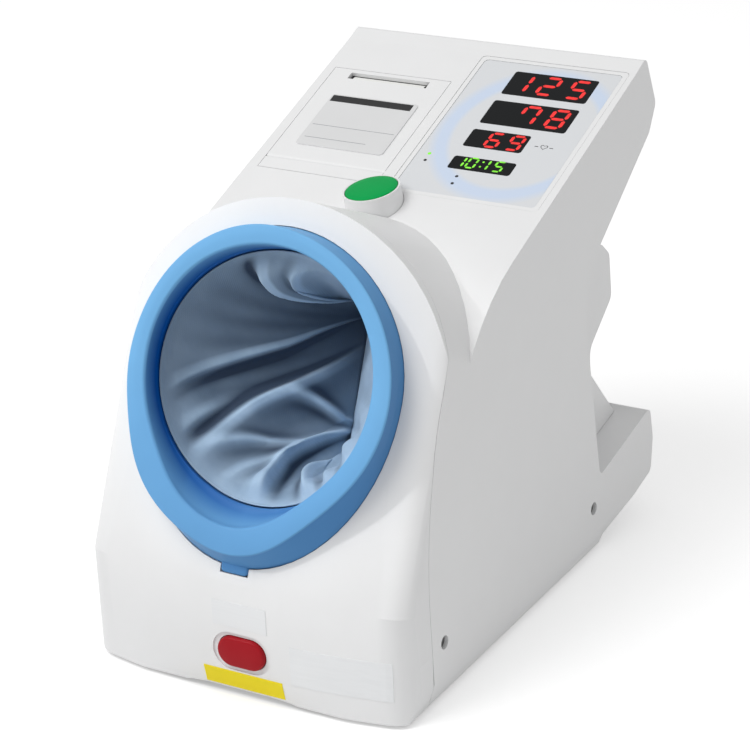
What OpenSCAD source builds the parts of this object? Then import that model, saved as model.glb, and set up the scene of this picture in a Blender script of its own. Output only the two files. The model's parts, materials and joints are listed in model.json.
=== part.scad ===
// Arm-in blood pressure monitor for a desk or a stand.
// +X is the right side seen from the front, +Y points to the back, +Z up.
// The origin lies on the floor under the middle of the whole device.

/* [Body] */
// Greatest width of the case
body_w = 242; // [220:1:260]
// Width across the sides at the top of the head
top_w = 226; // [210:1:238]
// Width across the sides at the lowest edge
foot_w = 232; // [210:1:240]
// Height of the lower band along which the sides draw in
band_h = 17; // [10:1:25]
// Thickness of every moulded wall
wall = 3; // [2:0.5:4]
// Front of the case at its middle, measured forwards from the origin
front_reach = 189.5; // [180:0.5:194]
// Rear of the head, measured backwards from the origin
head_reach = 200; // [190:1:215]
// Overall height, at the back edge of the sloping panel
head_z = 333.5; // [310:0.5:350]
// Height of the lowest edge of the case above the floor
ground_gap = 3; // [2:0.5:5]
// Gap between neighbouring case parts
seam_gap = 0.4; // [0.3:0.05:0.6]

/* [Sloping panel] */
// Slope of the display and printer panel
panel_tilt = 20; // [16:1:24]
// Distance from the rear of the head to the fold above the panel
fold_inset = 28; // [24:1:34]

/* [Arm tunnel] */
// Backward lean of the arm opening
mouth_tilt = 24; // [18:1:28]
// Height of the middle of the arm opening
mouth_z = 208; // [200:1:214]
// Distance of the middle of the arm opening in front of the origin
mouth_reach = 148.7; // [145:0.1:152]
// Half width of the blue arm ring
ring_r = 93.5; // [90:0.5:98]
// Distance from the ring centre to its lower edge
ring_drop = 120; // [108:0.5:122]
// Radius of the clear arm opening
mouth_r = 82; // [76:0.5:84]
// Radius of the case collar around the ring
collar_r = 113.5; // [110:0.5:116]
// Outer radius of the cuff tube
tube_r = 90; // [88:0.5:92]
// Length of the cuff tube along the tunnel
tube_len = 124; // [110:1:130]
// Free radius through the cloth liner at its rear end
liner_r = 60; // [50:1:62]

/* [Display] */
// Left edge of the display overlay
overlay_x = 0; // [-2:0.5:4]
// Width of the display overlay
overlay_w = 105; // [95:0.5:107]
// Length of the display overlay down the slope
overlay_l = 146; // [135:0.5:150]
// Thickness of the display overlay
overlay_t = 1.1; // [0.8:0.1:1.6]

/* [Printer] */
// Width of the printer cover
cover_w = 93; // [85:0.5:96]
// Length of the printer cover down the slope
cover_l = 104; // [98:0.5:106]
// Radius of the paper roll
roll_r = 22; // [16:0.5:24]
// Width of the paper roll
roll_w = 57; // [50:0.5:58]

/* [Buttons] */
// Radius of the start button
start_r = 17.9; // [16:0.1:19]
// Travel of the start button
start_travel = 1.8; // [1:0.1:2.2]
// Width of the stop button
stop_w = 35; // [28:0.5:40]
// Height of the stop button
stop_h = 21; // [16:0.5:22]
// Travel of the stop button
stop_travel = 2.5; // [1.5:0.1:3]

/* [Hidden] */
$fn = 96;

// ---------------------------------------------------------------- outlines

function unit(v) = v / norm(v);
function left_of(v) = [-v[1], v[0]];
// Point where the line through p along d meets the line through q along e
function meet(p, d, q, e) =
    p + d * ((q - p)[0] * e[1] - (q - p)[1] * e[0]) / (d[0] * e[1] - d[1] * e[0]);
// Outline with every edge moved inwards by t; the outline runs anticlockwise
function inset(pts, t) =
    let (n = len(pts))
    [for (i = [0 : n - 1])
        let (a = pts[(i + n - 1) % n], b = pts[i], c = pts[(i + 1) % n],
             d = unit(b - a), e = unit(c - b))
        meet(a + left_of(d) * t, d, b + left_of(e) * t, e)];
// Corner radii that go with the moved outline
function inset_radii(pts, radii, t) =
    let (n = len(pts))
    [for (i = [0 : n - 1])
        let (a = pts[(i + n - 1) % n], b = pts[i], c = pts[(i + 1) % n],
             turn = (b - a)[0] * (c - b)[1] - (b - a)[1] * (c - b)[0])
        radii[i] <= 0 ? 0 : max(0, radii[i] - sign(turn) * t)];
// Arc of radius r that rounds the corner b between a and c
function corner(a, b, c, r, steps) =
    r <= 0 ? [b] :
    let (d = unit(a - b), e = unit(c - b),
         half = acos(d * e) / 2,
         centre = b + unit(d + e) * r / sin(half),
         from = b + d * r / tan(half) - centre,
         to = b + e * r / tan(half) - centre,
         sweep = 180 - 2 * half)
    [for (i = [0 : steps])
        centre + (from * sin(sweep * (1 - i / steps)) + to * sin(sweep * i / steps)) / sin(sweep)];
// Outline whose corners are rounded, moved inwards by t
function soft_outline(pts, radii, t = 0, steps = 6) =
    let (p = inset(pts, t), r = inset_radii(pts, radii, t), n = len(p))
    [for (i = [0 : n - 1])
        each corner(p[(i + n - 1) % n], p[i], p[(i + 1) % n], r[i], steps)];

// A YZ outline carried along X, over a width w about the middle
module side_extrude(w, x = 0) {
    translate([x, 0, 0])
        rotate([90, 0, 90])
        linear_extrude(w, center = true) children();
}
// An XZ outline carried along Y from y0 to y1
module front_extrude(y0, y1) {
    translate([0, y1, 0])
        rotate([90, 0, 0])
        linear_extrude(y1 - y0) children();
}
// Flat plate with rounded corners, in XY, from its least corner
module plate(size, r) {
    linear_extrude(size[2])
        polygon(soft_outline([[0, 0], [size[0], 0], [size[0], size[1]], [0, size[1]]],
                             [r, r, r, r], 0, 5));
}

// ---------------------------------------------------------------- places

fold_y = head_reach - fold_inset;
// Rise of the crowned back edge above the fold
head_crown = 7;
fold_z = head_z - head_crown;
// Height of the sloping panel's plane at a depth y
function panel_z(y) = fold_z - (fold_y - y) * tan(panel_tilt);
// Half width of the case at a height z above the band
function half_w(z) =
    body_w / 2 - (body_w - top_w) / 2 * (z - ground_gap - band_h) / (head_z - ground_gap - band_h);

// Panel frame: X as the case, Y up the slope, Z out of the panel, origin on the fold
module on_panel() {
    translate([0, fold_y, fold_z])
        rotate([panel_tilt, 0, 0]) children();
}
// Tunnel frame: Z out of the arm opening along the tunnel, Y up the face of the ring
module in_tunnel() {
    translate([0, -mouth_reach, mouth_z])
        rotate([90 - mouth_tilt, 0, 0]) children();
}
// Depth and height of a point of the tunnel frame
function tunnel_yz(v, w) = [
    -mouth_reach + v * sin(mouth_tilt) - w * cos(mouth_tilt),
    mouth_z + v * cos(mouth_tilt) + w * sin(mouth_tilt)];

// Seam between the front cover and the upper case
seam_y = -149.5;
seam_turn_z = 132;
seam_turn_r = 300;
far = 420;
seam_top = [seam_y + (far - seam_turn_z) * tan(mouth_tilt), far];

// Side view of the case from the front bottom corner, anticlockwise
belly_z = 61;
brow = [-70.5, panel_z(-70.5)];
chin = [-128.3, 129.5];
hip = [79, 206];
heel_y = 101;
tray_root = [95.5, 58];
tray_top = [180.5, 76];
tray_rear = [184, 51];
tray_low = [179, 27];
tray_heel = [104, 9];
head_low = [head_reach - 10, 279];
function case_side(z0) = [
    [seam_y, z0], [heel_y, z0], tray_heel, tray_low, tray_rear, tray_top, tray_root,
    hip, head_low, [head_reach + 2, 297], [head_reach - 12, head_z],
    [fold_y, fold_z], brow, chin, [seam_y, belly_z]];
case_side_r = [0, 0, 4, 6, 12, 5, 5, 50, 8, 7, 5, 6, 140, 400, 80];
// Front view of the case, with its sides drawn in at the foot and at the top
function case_front(z0) =
    let (slope = (body_w - top_w) / 2 / (head_z - ground_gap - band_h),
         rise = 40,
         foot = foot_w / 2 - (body_w - foot_w) / 2 / band_h * (ground_gap - z0),
         top = top_w / 2 - slope * rise)
    [[-foot, z0], [foot, z0], [body_w / 2, ground_gap + band_h], [top, head_z + rise],
     [-top, head_z + rise], [-body_w / 2, ground_gap + band_h]];
// Plan of the bowed front: the face, its soft corners and the straight sides
bow = 12;
bow_x = 62;
lean_bow_x = 57;
bow_r = 380;
corner_r = 20;
function front_plan(face, back, knee) = [
    [-body_w / 2, -face + bow], [-knee, -face], [knee, -face], [body_w / 2, -face + bow],
    [body_w / 2, back], [-body_w / 2, back]];
front_plan_r = [corner_r, bow_r, bow_r, corner_r, 0, 0];
// Distance of the leaning face behind the plane of the arm ring
face_back = 14.5;

// ---------------------------------------------------------------- case solids

// The main body, all walls moved inwards by t; z0 is its lower end
module body_solid(t, z0) {
    intersection() {
        side_extrude(body_w + 20) polygon(soft_outline(case_side(z0), case_side_r, t));
        front_extrude(-260, 260) polygon(inset(case_front(z0), t));
    }
}
// Arch on top of straight sides, seen along the tunnel
function arch_outline(t) =
    let (half = body_w / 2 - 0.5 - t)
    [each [for (i = [0 : 30]) let (a = i * 6) [half * cos(a), (collar_r - t) * sin(a)]],
     [-half, -260], [half, -260]];
// The block around the arm ring
module arch_solid(t, z0) {
    intersection() {
        in_tunnel()
            translate([0, 0, -150])
                linear_extrude(160)
                polygon(arch_outline(t));
        in_tunnel()
            translate([0, -300, 0])
            rotate([-90, 0, 0])
            linear_extrude(500)
            polygon(soft_outline(front_plan(-face_back, 260, lean_bow_x), front_plan_r, t));
        translate([0, 0, z0])
            linear_extrude(far)
            polygon(soft_outline(front_plan(front_reach, 90, bow_x), front_plan_r, t));
        front_extrude(-260, 60) polygon(inset(case_front(z0), t));
        side_extrude(body_w + 20)
            polygon([[-front_reach + 3.5 + t, ground_gap + min(0, z0 - ground_gap)],
                     [60, ground_gap + min(0, z0 - ground_gap)], [60, far],
                     [-front_reach - 90 + t, far]]);
    }
}
module case_solid(t, z0) {
    body_solid(t, z0);
    arch_solid(t, z0);
}
// Everything in front of the seam, moved forwards by g
module before_seam(g) {
    side_extrude(body_w + 40)
        polygon(soft_outline([[-260, -40], [seam_y - g, -40], [seam_y - g, seam_turn_z],
                              seam_top - [g, 0], [-260, far]],
                             [0, 0, seam_turn_r, 0, 0], 0, 12));
}
// The whole moulded shell, open below
module case_shell() {
    difference() {
        case_solid(0, ground_gap);
        case_solid(wall, ground_gap - 30);
    }
}

// ---------------------------------------------------------------- arm ring

// Outline of the ring seen along the tunnel, grown by g: round above, longer below
function ring_outline(g) =
    [for (i = [0 : 71])
        let (a = i * 5)
        [(ring_r + g) * cos(a), (a > 180 ? ring_drop + g : ring_r + 2 + g) * sin(a)]];
ring_back = 26;
spigot_len = 12;
spigot_r = mouth_r + 6;
tab_x = 0;
tab_drop = 4.5;
module arm_ring() {
    color("steelblue")
    in_tunnel() {
        difference() {
            union() {
                translate([0, 0, -ring_back]) linear_extrude(ring_back) polygon(ring_outline(0));
                translate([0, 0, -ring_back - spigot_len]) cylinder(r = spigot_r, h = spigot_len + 1);
                translate([tab_x - 10, -ring_drop - tab_drop, -ring_back + 2]) cube([20, 12, 9]);
            }
            translate([0, 0, -ring_back - spigot_len - 1])
                cylinder(r = mouth_r, h = ring_back + spigot_len + 2);
            // scoop inside the lower lip
            translate([0, 0, -12])
                linear_extrude(13)
                polygon([for (p = ring_outline(-16)) if (p[1] <= 0) p]);
        }
    }
}

// ---------------------------------------------------------------- front cover

stop_x = 4;
stop_z = 34;
pocket_rim = 4;
// Long round outline, w wide and h high, about the middle
module pill(w, h, depth) {
    linear_extrude(depth) {
        square([w - h, h], center = true);
        for (s = [-1, 1]) translate([s * (w - h) / 2, 0]) circle(d = h);
    }
}
// Frame of the stop button: Z out of the front face, Y up
module at_stop() {
    translate([stop_x, -front_reach, stop_z])
        rotate([90, 0, 0]) children();
}
stop_clear = 0.5;
module front_cover() {
    color("white")
    difference() {
        union() {
            intersection() {
                case_shell();
                before_seam(seam_gap / 2);
            }
            // cup behind and around the arm ring
            intersection() {
                in_tunnel()
                    translate([0, 0, -ring_back - wall - 0.2])
                    linear_extrude(ring_back + wall)
                    polygon(ring_outline(wall + 4));
                case_solid(0.1, ground_gap);
                before_seam(seam_gap);
            }
            // sleeve that guides the stop button
            at_stop()
                translate([0, 0, -9])
                pill(stop_w + 2 * stop_clear + 4, stop_h + 2 * stop_clear + 4, 8);
        }
        // pocket for the ring and hole for its spigot
        in_tunnel() {
            translate([0, 0, -ring_back - 0.2]) linear_extrude(60) polygon(ring_outline(0.5));
            translate([0, 0, -60]) cylinder(r = spigot_r + 0.3, h = 80);
            translate([tab_x - 10.4, -ring_drop - tab_drop - 0.5, -ring_back - 0.2])
                cube([20.8, 14, 60]);
        }
        at_stop() {
            translate([0, 0, -20]) pill(stop_w + 2 * stop_clear, stop_h + 2 * stop_clear, 30);
            translate([0, 0, -1.2]) pill(stop_w + 2 * pocket_rim, stop_h + 2 * pocket_rim - 2, 10);
        }
    }
}

// ---------------------------------------------------------------- upper case

screw_y = [-133.5, 84];
screw_z = [42, 38];
screw_r = 2;
head_r = 3.9;
recess = 5;
boss_r = 7.5;
module at_screws() {
    for (i = [0, 1], s = [-1, 1])
        translate([0, screw_y[i], screw_z[i]])
            rotate([0, s * 90, 0]) children();
}
// Side view of the rear hood, from its front bottom corner
bulkhead_w = -(ring_back + spigot_len + 4 + tube_len + 1);
hood_low = tunnel_yz(-94, bulkhead_w);
hood_high = tunnel_yz(94, bulkhead_w);
function tray_z(y) =
    tray_root[1] + (y - tray_root[0]) * (tray_top - tray_root)[1] / (tray_top - tray_root)[0];
hood_foot = 168;
hood_side = [
    [hood_low[0], tray_z(tray_root[0]) + seam_gap],
    [tray_root[0], tray_z(tray_root[0]) + seam_gap], [hood_foot, tray_z(hood_foot) + seam_gap],
    [129, 118], [129, 137], [164.5, 163.5], [161.5, 197], [148, 209], [96, 196], hood_high];
hood_side_r = [0, 0, 0, 12, 12, 8, 9, 7, 40, 0];
hood_w = 194;
rest_w = 181;
rest_rear = 177;
// Openings in the sloping panel
cover_x = -106;
cover_top = -34;
hinge_r = 3;
hinge_v = cover_top - cover_l + hinge_r;
strip_l = 11;
strip_v = cover_top - cover_l - seam_gap - strip_l;
pin_r = 1.5;
pin_len = 3;
pin_fit = 0.05;
frame_edge = 3.6;
start_y = 11.3;
start_rise = 12.8;
start_pos = [-5, start_y, panel_z(start_y) + start_rise];
start_tilt = [9, -6, 0];
barrel_r = start_r + 1.6;
neck_r = 13.5;
seat_depth = 1.5;
module at_start() {
    translate(start_pos) rotate(start_tilt) children();
}
// Barrel of the start button, of radius r, down to a depth below the panel
module start_barrel(r, top, depth) {
    intersection() {
        at_start() translate([0, 0, top - 40]) cylinder(r = r, h = 40);
        on_panel() translate([-60, -230, -depth]) cube([120, 130, 60]);
    }
}
// Mains inlet and switch on the left side
inlet_yz = [59, 25];
inlet_size = [22, 30, 22];
switch_yz = [31, 25];
switch_size = [18, 20, 24];
module upper_case() {
    color("white")
    difference() {
        union() {
            difference() {
                case_shell();
                before_seam(-seam_gap / 2);
            }
            // bosses behind the side screws
            at_screws()
                translate([0, 0, half_w(40) - recess - 2.5])
                cylinder(r = boss_r, h = recess + 1.5);
            // hinge brackets of the printer cover
            on_panel() {
                translate([cover_x - 4, hinge_v - 5, -8]) cube([3.6, 10, 6]);
                translate([cover_x + cover_w + 0.4, hinge_v - 5, -8]) cube([3.6, 10, 6]);
                // ledge under the hinge strip
                translate([cover_x - 4, strip_v - 4, -wall - 2.6]) cube([cover_w + 8, strip_l + 3, 2.4]);
                translate([cover_x - 4, strip_v - 4, -wall - 2.6]) cube([cover_w + 8, 3, 3]);
            }
        }
        // printer bay
        on_panel() {
            translate([cover_x - seam_gap, strip_v - seam_gap, -wall - 0.1])
                plate([cover_w + 2 * seam_gap, cover_l + strip_l + 3 * seam_gap, 10], 0.5);
            translate([cover_x - pin_len - 0.5, hinge_v, -hinge_r])
                rotate([0, 90, 0])
                cylinder(r = pin_r + pin_fit, h = cover_w + 2 * pin_len + 1);
            // display frame
            translate([overlay_x - frame_edge - 0.3, -overlay_l - 2 * frame_edge - 0.3 - 0.8, -10])
                plate([overlay_w + 2 * frame_edge + 0.6, overlay_l + 2 * frame_edge + 0.6, 20], 3.3);
        }
        // seat of the start button
        start_barrel(barrel_r + seam_gap, 20, seat_depth);
        start_barrel(neck_r + seam_gap, 0, 20);
        // side screws
        at_screws() {
            cylinder(r = screw_r + 0.3, h = body_w);
            translate([0, 0, half_w(40) - recess]) cylinder(r = head_r + 0.7, h = 20);
        }
        // rear mouth of the tunnel
        side_extrude(hood_w + 2 * seam_gap)
            polygon(soft_outline(hood_side, hood_side_r, -seam_gap));
        // elbow rest
        side_extrude(rest_w + 2 * seam_gap)
            polygon([[60, 40], [100, 40], [rest_rear + seam_gap, 50], [rest_rear + seam_gap, 90],
                     [60, 90]]);
        // mains inlet and switch
        translate([-body_w / 2 - 5, inlet_yz[0] - inlet_size[1] / 2 - 0.3,
                   inlet_yz[1] - inlet_size[2] / 2 - 0.3])
            cube([12, inlet_size[1] + 0.6, inlet_size[2] + 0.6]);
        translate([-body_w / 2 - 5, switch_yz[0] - switch_size[1] / 2 - 0.3,
                   switch_yz[1] - switch_size[2] / 2 - 0.3])
            cube([12, switch_size[1] + 0.6, switch_size[2] + 0.6]);
    }
}

// ---------------------------------------------------------------- rear hood and rest

module rear_hood() {
    color("white")
    difference() {
        union() {
            difference() {
                side_extrude(hood_w) polygon(soft_outline(hood_side, hood_side_r));
                side_extrude(hood_w - 2 * wall)
                    polygon([[-90, 0], [400, 0], [400, 150], [164, 190], [160, 194],
                             [148, 209 - wall * 1.2], [96, 196 - wall * 1.05], hood_high - [-0.2, 3.2],
                             hood_high - [60, 3.2]]);
            }
            // bulkhead that closes on the cuff tube
            intersection() {
                side_extrude(hood_w) polygon(soft_outline(hood_side, hood_side_r));
                in_tunnel() translate([-120, -120, bulkhead_w - wall]) cube([240, 240, wall]);
            }
        }
        in_tunnel() translate([0, 0, bulkhead_w - 10]) cylinder(r = tube_r - 3, h = 20);
    }
}
rest_t = 8;
dish_r = 420;
rest_front = 4;
module elbow_rest() {
    color("whitesmoke")
    difference() {
        side_extrude(rest_w)
            polygon([[rest_front, 44], [100, 44], [rest_rear, tray_z(rest_rear) - rest_t],
                     [rest_rear, tray_z(rest_rear)], [100, tray_z(100)], [rest_front, tray_z(100)]]);
        translate([0, 0, tray_z(100) - 5 + dish_r])
            rotate([-90, 0, 0])
            cylinder(r = dish_r, h = 96);
        translate([0, 96, tray_z(96) - 5 + dish_r])
            rotate([-90 + atan2(tray_top[1] - tray_root[1], tray_top[0] - tray_root[0]), 0, 0])
            cylinder(r = dish_r, h = 100);
    }
}

// ---------------------------------------------------------------- base

plate_t = 3;
floor_z = ground_gap + plate_t;
foot_pos = [[-88, -150], [88, -150], [-88, 85], [88, 85]];
foot_r = 9;
peg_r = 3;
post_gap = 0.2;
board_pos = [-98, -128];
board_size = [128, 84, 1.6];
board_z = 12;
module base_chassis() {
    edge = foot_w / 2 - wall - 0.5;
    tab_out = half_w(40) - recess - 3;
    color("gainsboro")
    difference() {
        union() {
            translate([0, 0, ground_gap])
                linear_extrude(plate_t)
                polygon([[-edge, heel_y - wall - 0.6], [-edge, -150], [-edge + 14, -168],
                         [-60, -174], [60, -174], [edge - 14, -168], [edge, -150],
                         [edge, heel_y - wall - 0.6]]);
            // upright tabs that take the side screws
            for (i = [0, 1], s = [-1, 1])
                translate([s * (tab_out - 4) - 4, screw_y[i] - 8, floor_z - 0.5])
                    cube([8, 16, screw_z[i] - floor_z + 9]);
            // posts under the elbow rest
            for (x = [-70, 70])
                translate([x, 92, floor_z - 0.5]) cylinder(r = 5, h = 44 - floor_z + 0.5 - post_gap);
            for (x = [0, 1], y = [0, 1])
                translate([board_pos[0] + 5 + x * (board_size[0] - 10),
                           board_pos[1] + 5 + y * (board_size[1] - 10), floor_z - 0.5])
                    cylinder(r = 3, h = board_z - floor_z + 0.5 - post_gap);
        }
        at_screws() cylinder(r = screw_r + 0.05, h = body_w);
        for (p = foot_pos)
            translate([p[0], p[1], 0]) cylinder(r = peg_r + 0.05, h = 20);
    }
}
module rubber_feet() {
    color("dimgray")
    for (p = foot_pos)
        translate([p[0], p[1], 0]) {
            cylinder(r = foot_r, h = ground_gap - 0.05);
            cylinder(r = peg_r, h = floor_z);
        }
}
module case_screws() {
    color("silver")
    at_screws() {
        translate([0, 0, half_w(40) - recess + 0.1]) cylinder(r = head_r, h = 2.4);
        translate([0, 0, half_w(40) - recess - 10]) cylinder(r = screw_r, h = 10.5);
    }
}

// ---------------------------------------------------------------- cuff

module cuff_tube() {
    front_w = -(ring_back + spigot_len + 0.3);
    color("gainsboro")
    difference() {
        union() {
            in_tunnel() {
                translate([0, 0, front_w - tube_len - 3.4]) cylinder(r = tube_r, h = tube_len + 3.4);
                translate([0, 0, front_w - 3]) cylinder(r = tube_r + 6, h = 3);
                translate([0, 0, front_w - tube_len - 3.4]) cylinder(r = tube_r + 3, h = 3);
            }
            translate([valve_pos[0], valve_pos[1], 72]) cylinder(r = 3, h = 20);
        }
        in_tunnel() translate([0, 0, -260]) cylinder(r = tube_r - 3, h = 300);
    }
}
cuff_front = -56;
cuff_len = 104;
cuff_r = 66;
module air_cuff() {
    color("slategray")
    in_tunnel()
        translate([0, 0, cuff_front - cuff_len])
        rotate_extrude()
        polygon([[cuff_r, 0], [tube_r - 3.3, 0], [tube_r - 3.3, cuff_len],
                 [mouth_r - 0.6, cuff_len], [cuff_r + 9, cuff_len * 0.55]]);
}
// Cloth liner: a sleeve that narrows inwards and gathers into folds
liner_around = 48;
liner_along = 10;
liner_t = 1;
liner_top_w = -(ring_back + 4);
liner_end_w = cuff_front - cuff_len + 2;
// Depth of the folds at an angle a and a share s of the liner's length
function fold(a, s) = 2.6 * s * sin(5 * a + 60 * s) + 1.4 * s * sin(9 * a - 80 * s);
function liner_point(i, j, grow) =
    let (a = i * 360 / liner_around, s = j / liner_along,
         front_r = mouth_r - 0.4 - liner_t,
         r = front_r + (liner_r + 0.5 - front_r) * s + fold(a, s) + grow)
    [r * cos(a), r * sin(a), liner_top_w + (liner_end_w - liner_top_w) * s];
module cuff_liner() {
    ring_len = liner_along + 1;
    pts = [for (grow = [0, liner_t], i = [0 : liner_around - 1], j = [0 : liner_along])
        liner_point(i, j, grow)];
    shift = liner_around * ring_len;
    function id(k, i, j) = k * shift + (i % liner_around) * ring_len + j;
    color("lightslategray")
    in_tunnel()
        polyhedron(pts, [
            for (i = [0 : liner_around - 1], j = [0 : liner_along - 1]) each [
                [id(0, i, j), id(0, i, j + 1), id(0, i + 1, j)],
                [id(0, i + 1, j), id(0, i, j + 1), id(0, i + 1, j + 1)],
                [id(1, i, j), id(1, i + 1, j), id(1, i, j + 1)],
                [id(1, i + 1, j), id(1, i + 1, j + 1), id(1, i, j + 1)]],
            for (i = [0 : liner_around - 1]) each [
                [id(0, i, 0), id(0, i + 1, 0), id(1, i, 0)],
                [id(0, i + 1, 0), id(1, i + 1, 0), id(1, i, 0)],
                [id(0, i, liner_along), id(1, i, liner_along), id(0, i + 1, liner_along)],
                [id(0, i + 1, liner_along), id(1, i, liner_along), id(1, i + 1, liner_along)]]]);
}

// ---------------------------------------------------------------- printer

slot_x = -91;
slot_w = 63;
slot_v = -44.5;
slot_h = 7;
module printer_cover() {
    color("white")
    on_panel()
    difference() {
        union() {
            translate([cover_x, hinge_v, -3]) cube([cover_w, cover_l - hinge_r, 3]);
            translate([cover_x, hinge_v, -hinge_r]) rotate([0, 90, 0]) cylinder(r = hinge_r, h = cover_w);
            translate([cover_x - pin_len, hinge_v, -hinge_r])
                rotate([0, 90, 0])
                cylinder(r = pin_r, h = cover_w + 2 * pin_len);
        }
        translate([slot_x, slot_v, -10]) cube([slot_w, slot_h, 20]);
    }
}
// Fixed strip that closes the bay below the cover, cut round the start button
module hinge_strip() {
    color("white")
    difference() {
        on_panel() translate([cover_x, strip_v, -wall]) cube([cover_w, strip_l, wall]);
        start_barrel(barrel_r + seam_gap, 20, 20);
    }
}
module printer_label() {
    color("lightgray")
    on_panel() translate([-92, -121.5, 0]) plate([69, 57.5, 0.8], 3);
}
module tear_bar() {
    color("silver")
    on_panel() translate([slot_x + 1, slot_v + slot_h + 0.3, -4.05]) cube([slot_w - 2, 2.4, 1]);
}
roll_pos = [-98, -11 - roll_r];
trough = roll_r + 0.5;
trough_t = 2.5;
roll_x = slot_x + 3;
platen_r = 5.5;
platen_pos = [-41, -13];
shaft_r = 2;
module printer_chassis() {
    rail_l = 91.5;
    color("darkgray")
    on_panel()
    difference() {
        union() {
            // mounting plate with rails up to the case
            translate([-109.5, -129.5, -10]) cube([100, 107.5, 2]);
            translate([-109.5, -129.5, -10]) cube([2.6, rail_l, 6.7]);
            translate([-12.1, -129.5, -10]) cube([2.6, rail_l, 6.7]);
            // trough for the paper roll
            translate([roll_x - 1 - trough_t, roll_pos[0], roll_pos[1]])
                rotate([0, 90, 0])
                cylinder(r = trough + trough_t, h = roll_w + 2 + 2 * trough_t);
            // cheeks that carry the platen
            for (x = [slot_x - 2.5, slot_x + slot_w])
                translate([x, platen_pos[0] - 8, platen_pos[1] - 12]) cube([2.5, 24, 15]);
        }
        translate([roll_x - 1, roll_pos[0], roll_pos[1]])
            rotate([0, 90, 0])
            cylinder(r = trough, h = roll_w + 2);
        translate([roll_x - 1, roll_pos[0] - trough, roll_pos[1]])
            cube([roll_w + 2, 2 * trough, 60]);
        // paper passage above the platen
        translate([slot_x, -56, -20]) cube([slot_w, 31, 30]);
        translate([-120, platen_pos[0], platen_pos[1]])
            rotate([0, 90, 0])
            cylinder(r = shaft_r + 0.05, h = 120);
    }
}
module print_head() {
    color("dimgray")
    on_panel()
    translate([slot_x + 0.4, platen_pos[0] + platen_r + 0.3, -19.6]) {
        cube([slot_w - 0.8, 3, 12]);
        cube([slot_w - 0.8, 8, 3]);
    }
}
module platen_roller() {
    color("black")
    on_panel()
    translate([0, platen_pos[0], platen_pos[1]])
    rotate([0, 90, 0]) {
        translate([0, 0, slot_x + 1]) cylinder(r = platen_r, h = slot_w - 2);
        translate([0, 0, slot_x - 4]) cylinder(r = shaft_r, h = slot_w + 8);
    }
}
module paper_roll() {
    color("white")
    on_panel()
    translate([roll_x, roll_pos[0], roll_pos[1]])
    rotate([0, 90, 0])
    difference() {
        cylinder(r = roll_r, h = roll_w);
        translate([0, 0, -1]) cylinder(r = 6, h = roll_w + 2);
    }
}

// ---------------------------------------------------------------- display

frame_t = 3.8;
sink = 0.2;
// Windows: left, top below the fold, width, length down the slope
windows = [[28, -13.2, 63.5, 26], [27.5, -46.8, 64, 25.8],
           [27.2, -79.8, 43.5, 18.8], [27.4, -109.6, 46.3, 13.3]];
overlay_v = -overlay_l - frame_edge - 0.8;
module window_cuts(g, depth, h) {
    for (w = windows)
        translate([w[0] - g, w[1] - w[3] - g, depth]) plate([w[2] + 2 * g, w[3] + 2 * g, h], 2);
}
// Notch for the start button housing, in the panel frame
module housing_notch() {
    rotate([-panel_tilt, 0, 0])
        translate([0, -fold_y, -fold_z])
        start_barrel(barrel_r + seam_gap, 20, 20);
}
module display_frame() {
    color("white")
    on_panel()
    difference() {
        translate([overlay_x - frame_edge, overlay_v - frame_edge, -frame_t])
            plate([overlay_w + 2 * frame_edge, overlay_l + 2 * frame_edge, frame_t - sink], 3);
        translate([overlay_x - 0.25, overlay_v - 0.25, -overlay_t - sink - 0.3])
            plate([overlay_w + 0.5, overlay_l + 0.5, 10], 3);
        window_cuts(-1.2, -10, 20);
        housing_notch();
    }
}
module display_overlay() {
    color("lightgray")
    on_panel()
    difference() {
        translate([overlay_x, overlay_v, -overlay_t - sink - 0.25])
            plate([overlay_w, overlay_l, overlay_t], 3);
        window_cuts(0.15, -10, 20);
        housing_notch();
    }
}
module display_windows() {
    color("black")
    on_panel() window_cuts(0, -overlay_t - sink - 0.25, overlay_t);
}
module digit_modules() {
    color("dimgray")
    on_panel()
    for (w = windows)
        translate([w[0] + 3, w[1] - w[3] + 2.5, -frame_t - 7.5]) cube([w[2] - 6, w[3] - 5, 7.2]);
}
module display_board() {
    color("green")
    on_panel() translate([overlay_x + 8, overlay_v + 10, -frame_t - 9.4]) cube([overlay_w - 16, 132, 1.6]);
}

// ---------------------------------------------------------------- buttons

cap_h = 4;
rim_drop = 1.4;
neck_end = 21;
neck_wall = 2;
web_low = 12;
stem_r = 4;
stem_end = 12.2;
module button_housing() {
    color("white")
    difference() {
        union() {
            start_barrel(barrel_r, -rim_drop, seat_depth - 0.3);
            at_start() translate([0, 0, -neck_end]) cylinder(r = neck_r, h = 14);
        }
        at_start() {
            translate([0, 0, -cap_h - start_travel - 0.3]) cylinder(r = start_r + 0.4, h = 20);
            translate([0, 0, -neck_end - 1]) cylinder(r = neck_r - neck_wall, h = neck_end + 1 - web_low);
            translate([0, 0, -40]) cylinder(r = stem_r + 0.4, h = 60);
        }
    }
}
module start_button() {
    color("seagreen")
    at_start() {
        translate([0, 0, -cap_h]) cylinder(r = start_r, h = cap_h);
        translate([0, 0, -stem_end]) cylinder(r = stem_r, h = stem_end - cap_h + 0.5);
    }
}
module start_switch() {
    board_h = 1.6;
    board_low = neck_end - 0.4;
    color("darkslategray")
    at_start() {
        translate([0, 0, -board_low]) cylinder(r = neck_r - neck_wall - 0.3, h = board_h);
        translate([-6, -6, -board_low + board_h - 0.1])
            cube([12, 12, board_low - board_h + 0.1 - stem_end - start_travel - 0.3]);
    }
}
stop_proud = 2.6;
stop_deep = 9;
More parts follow.
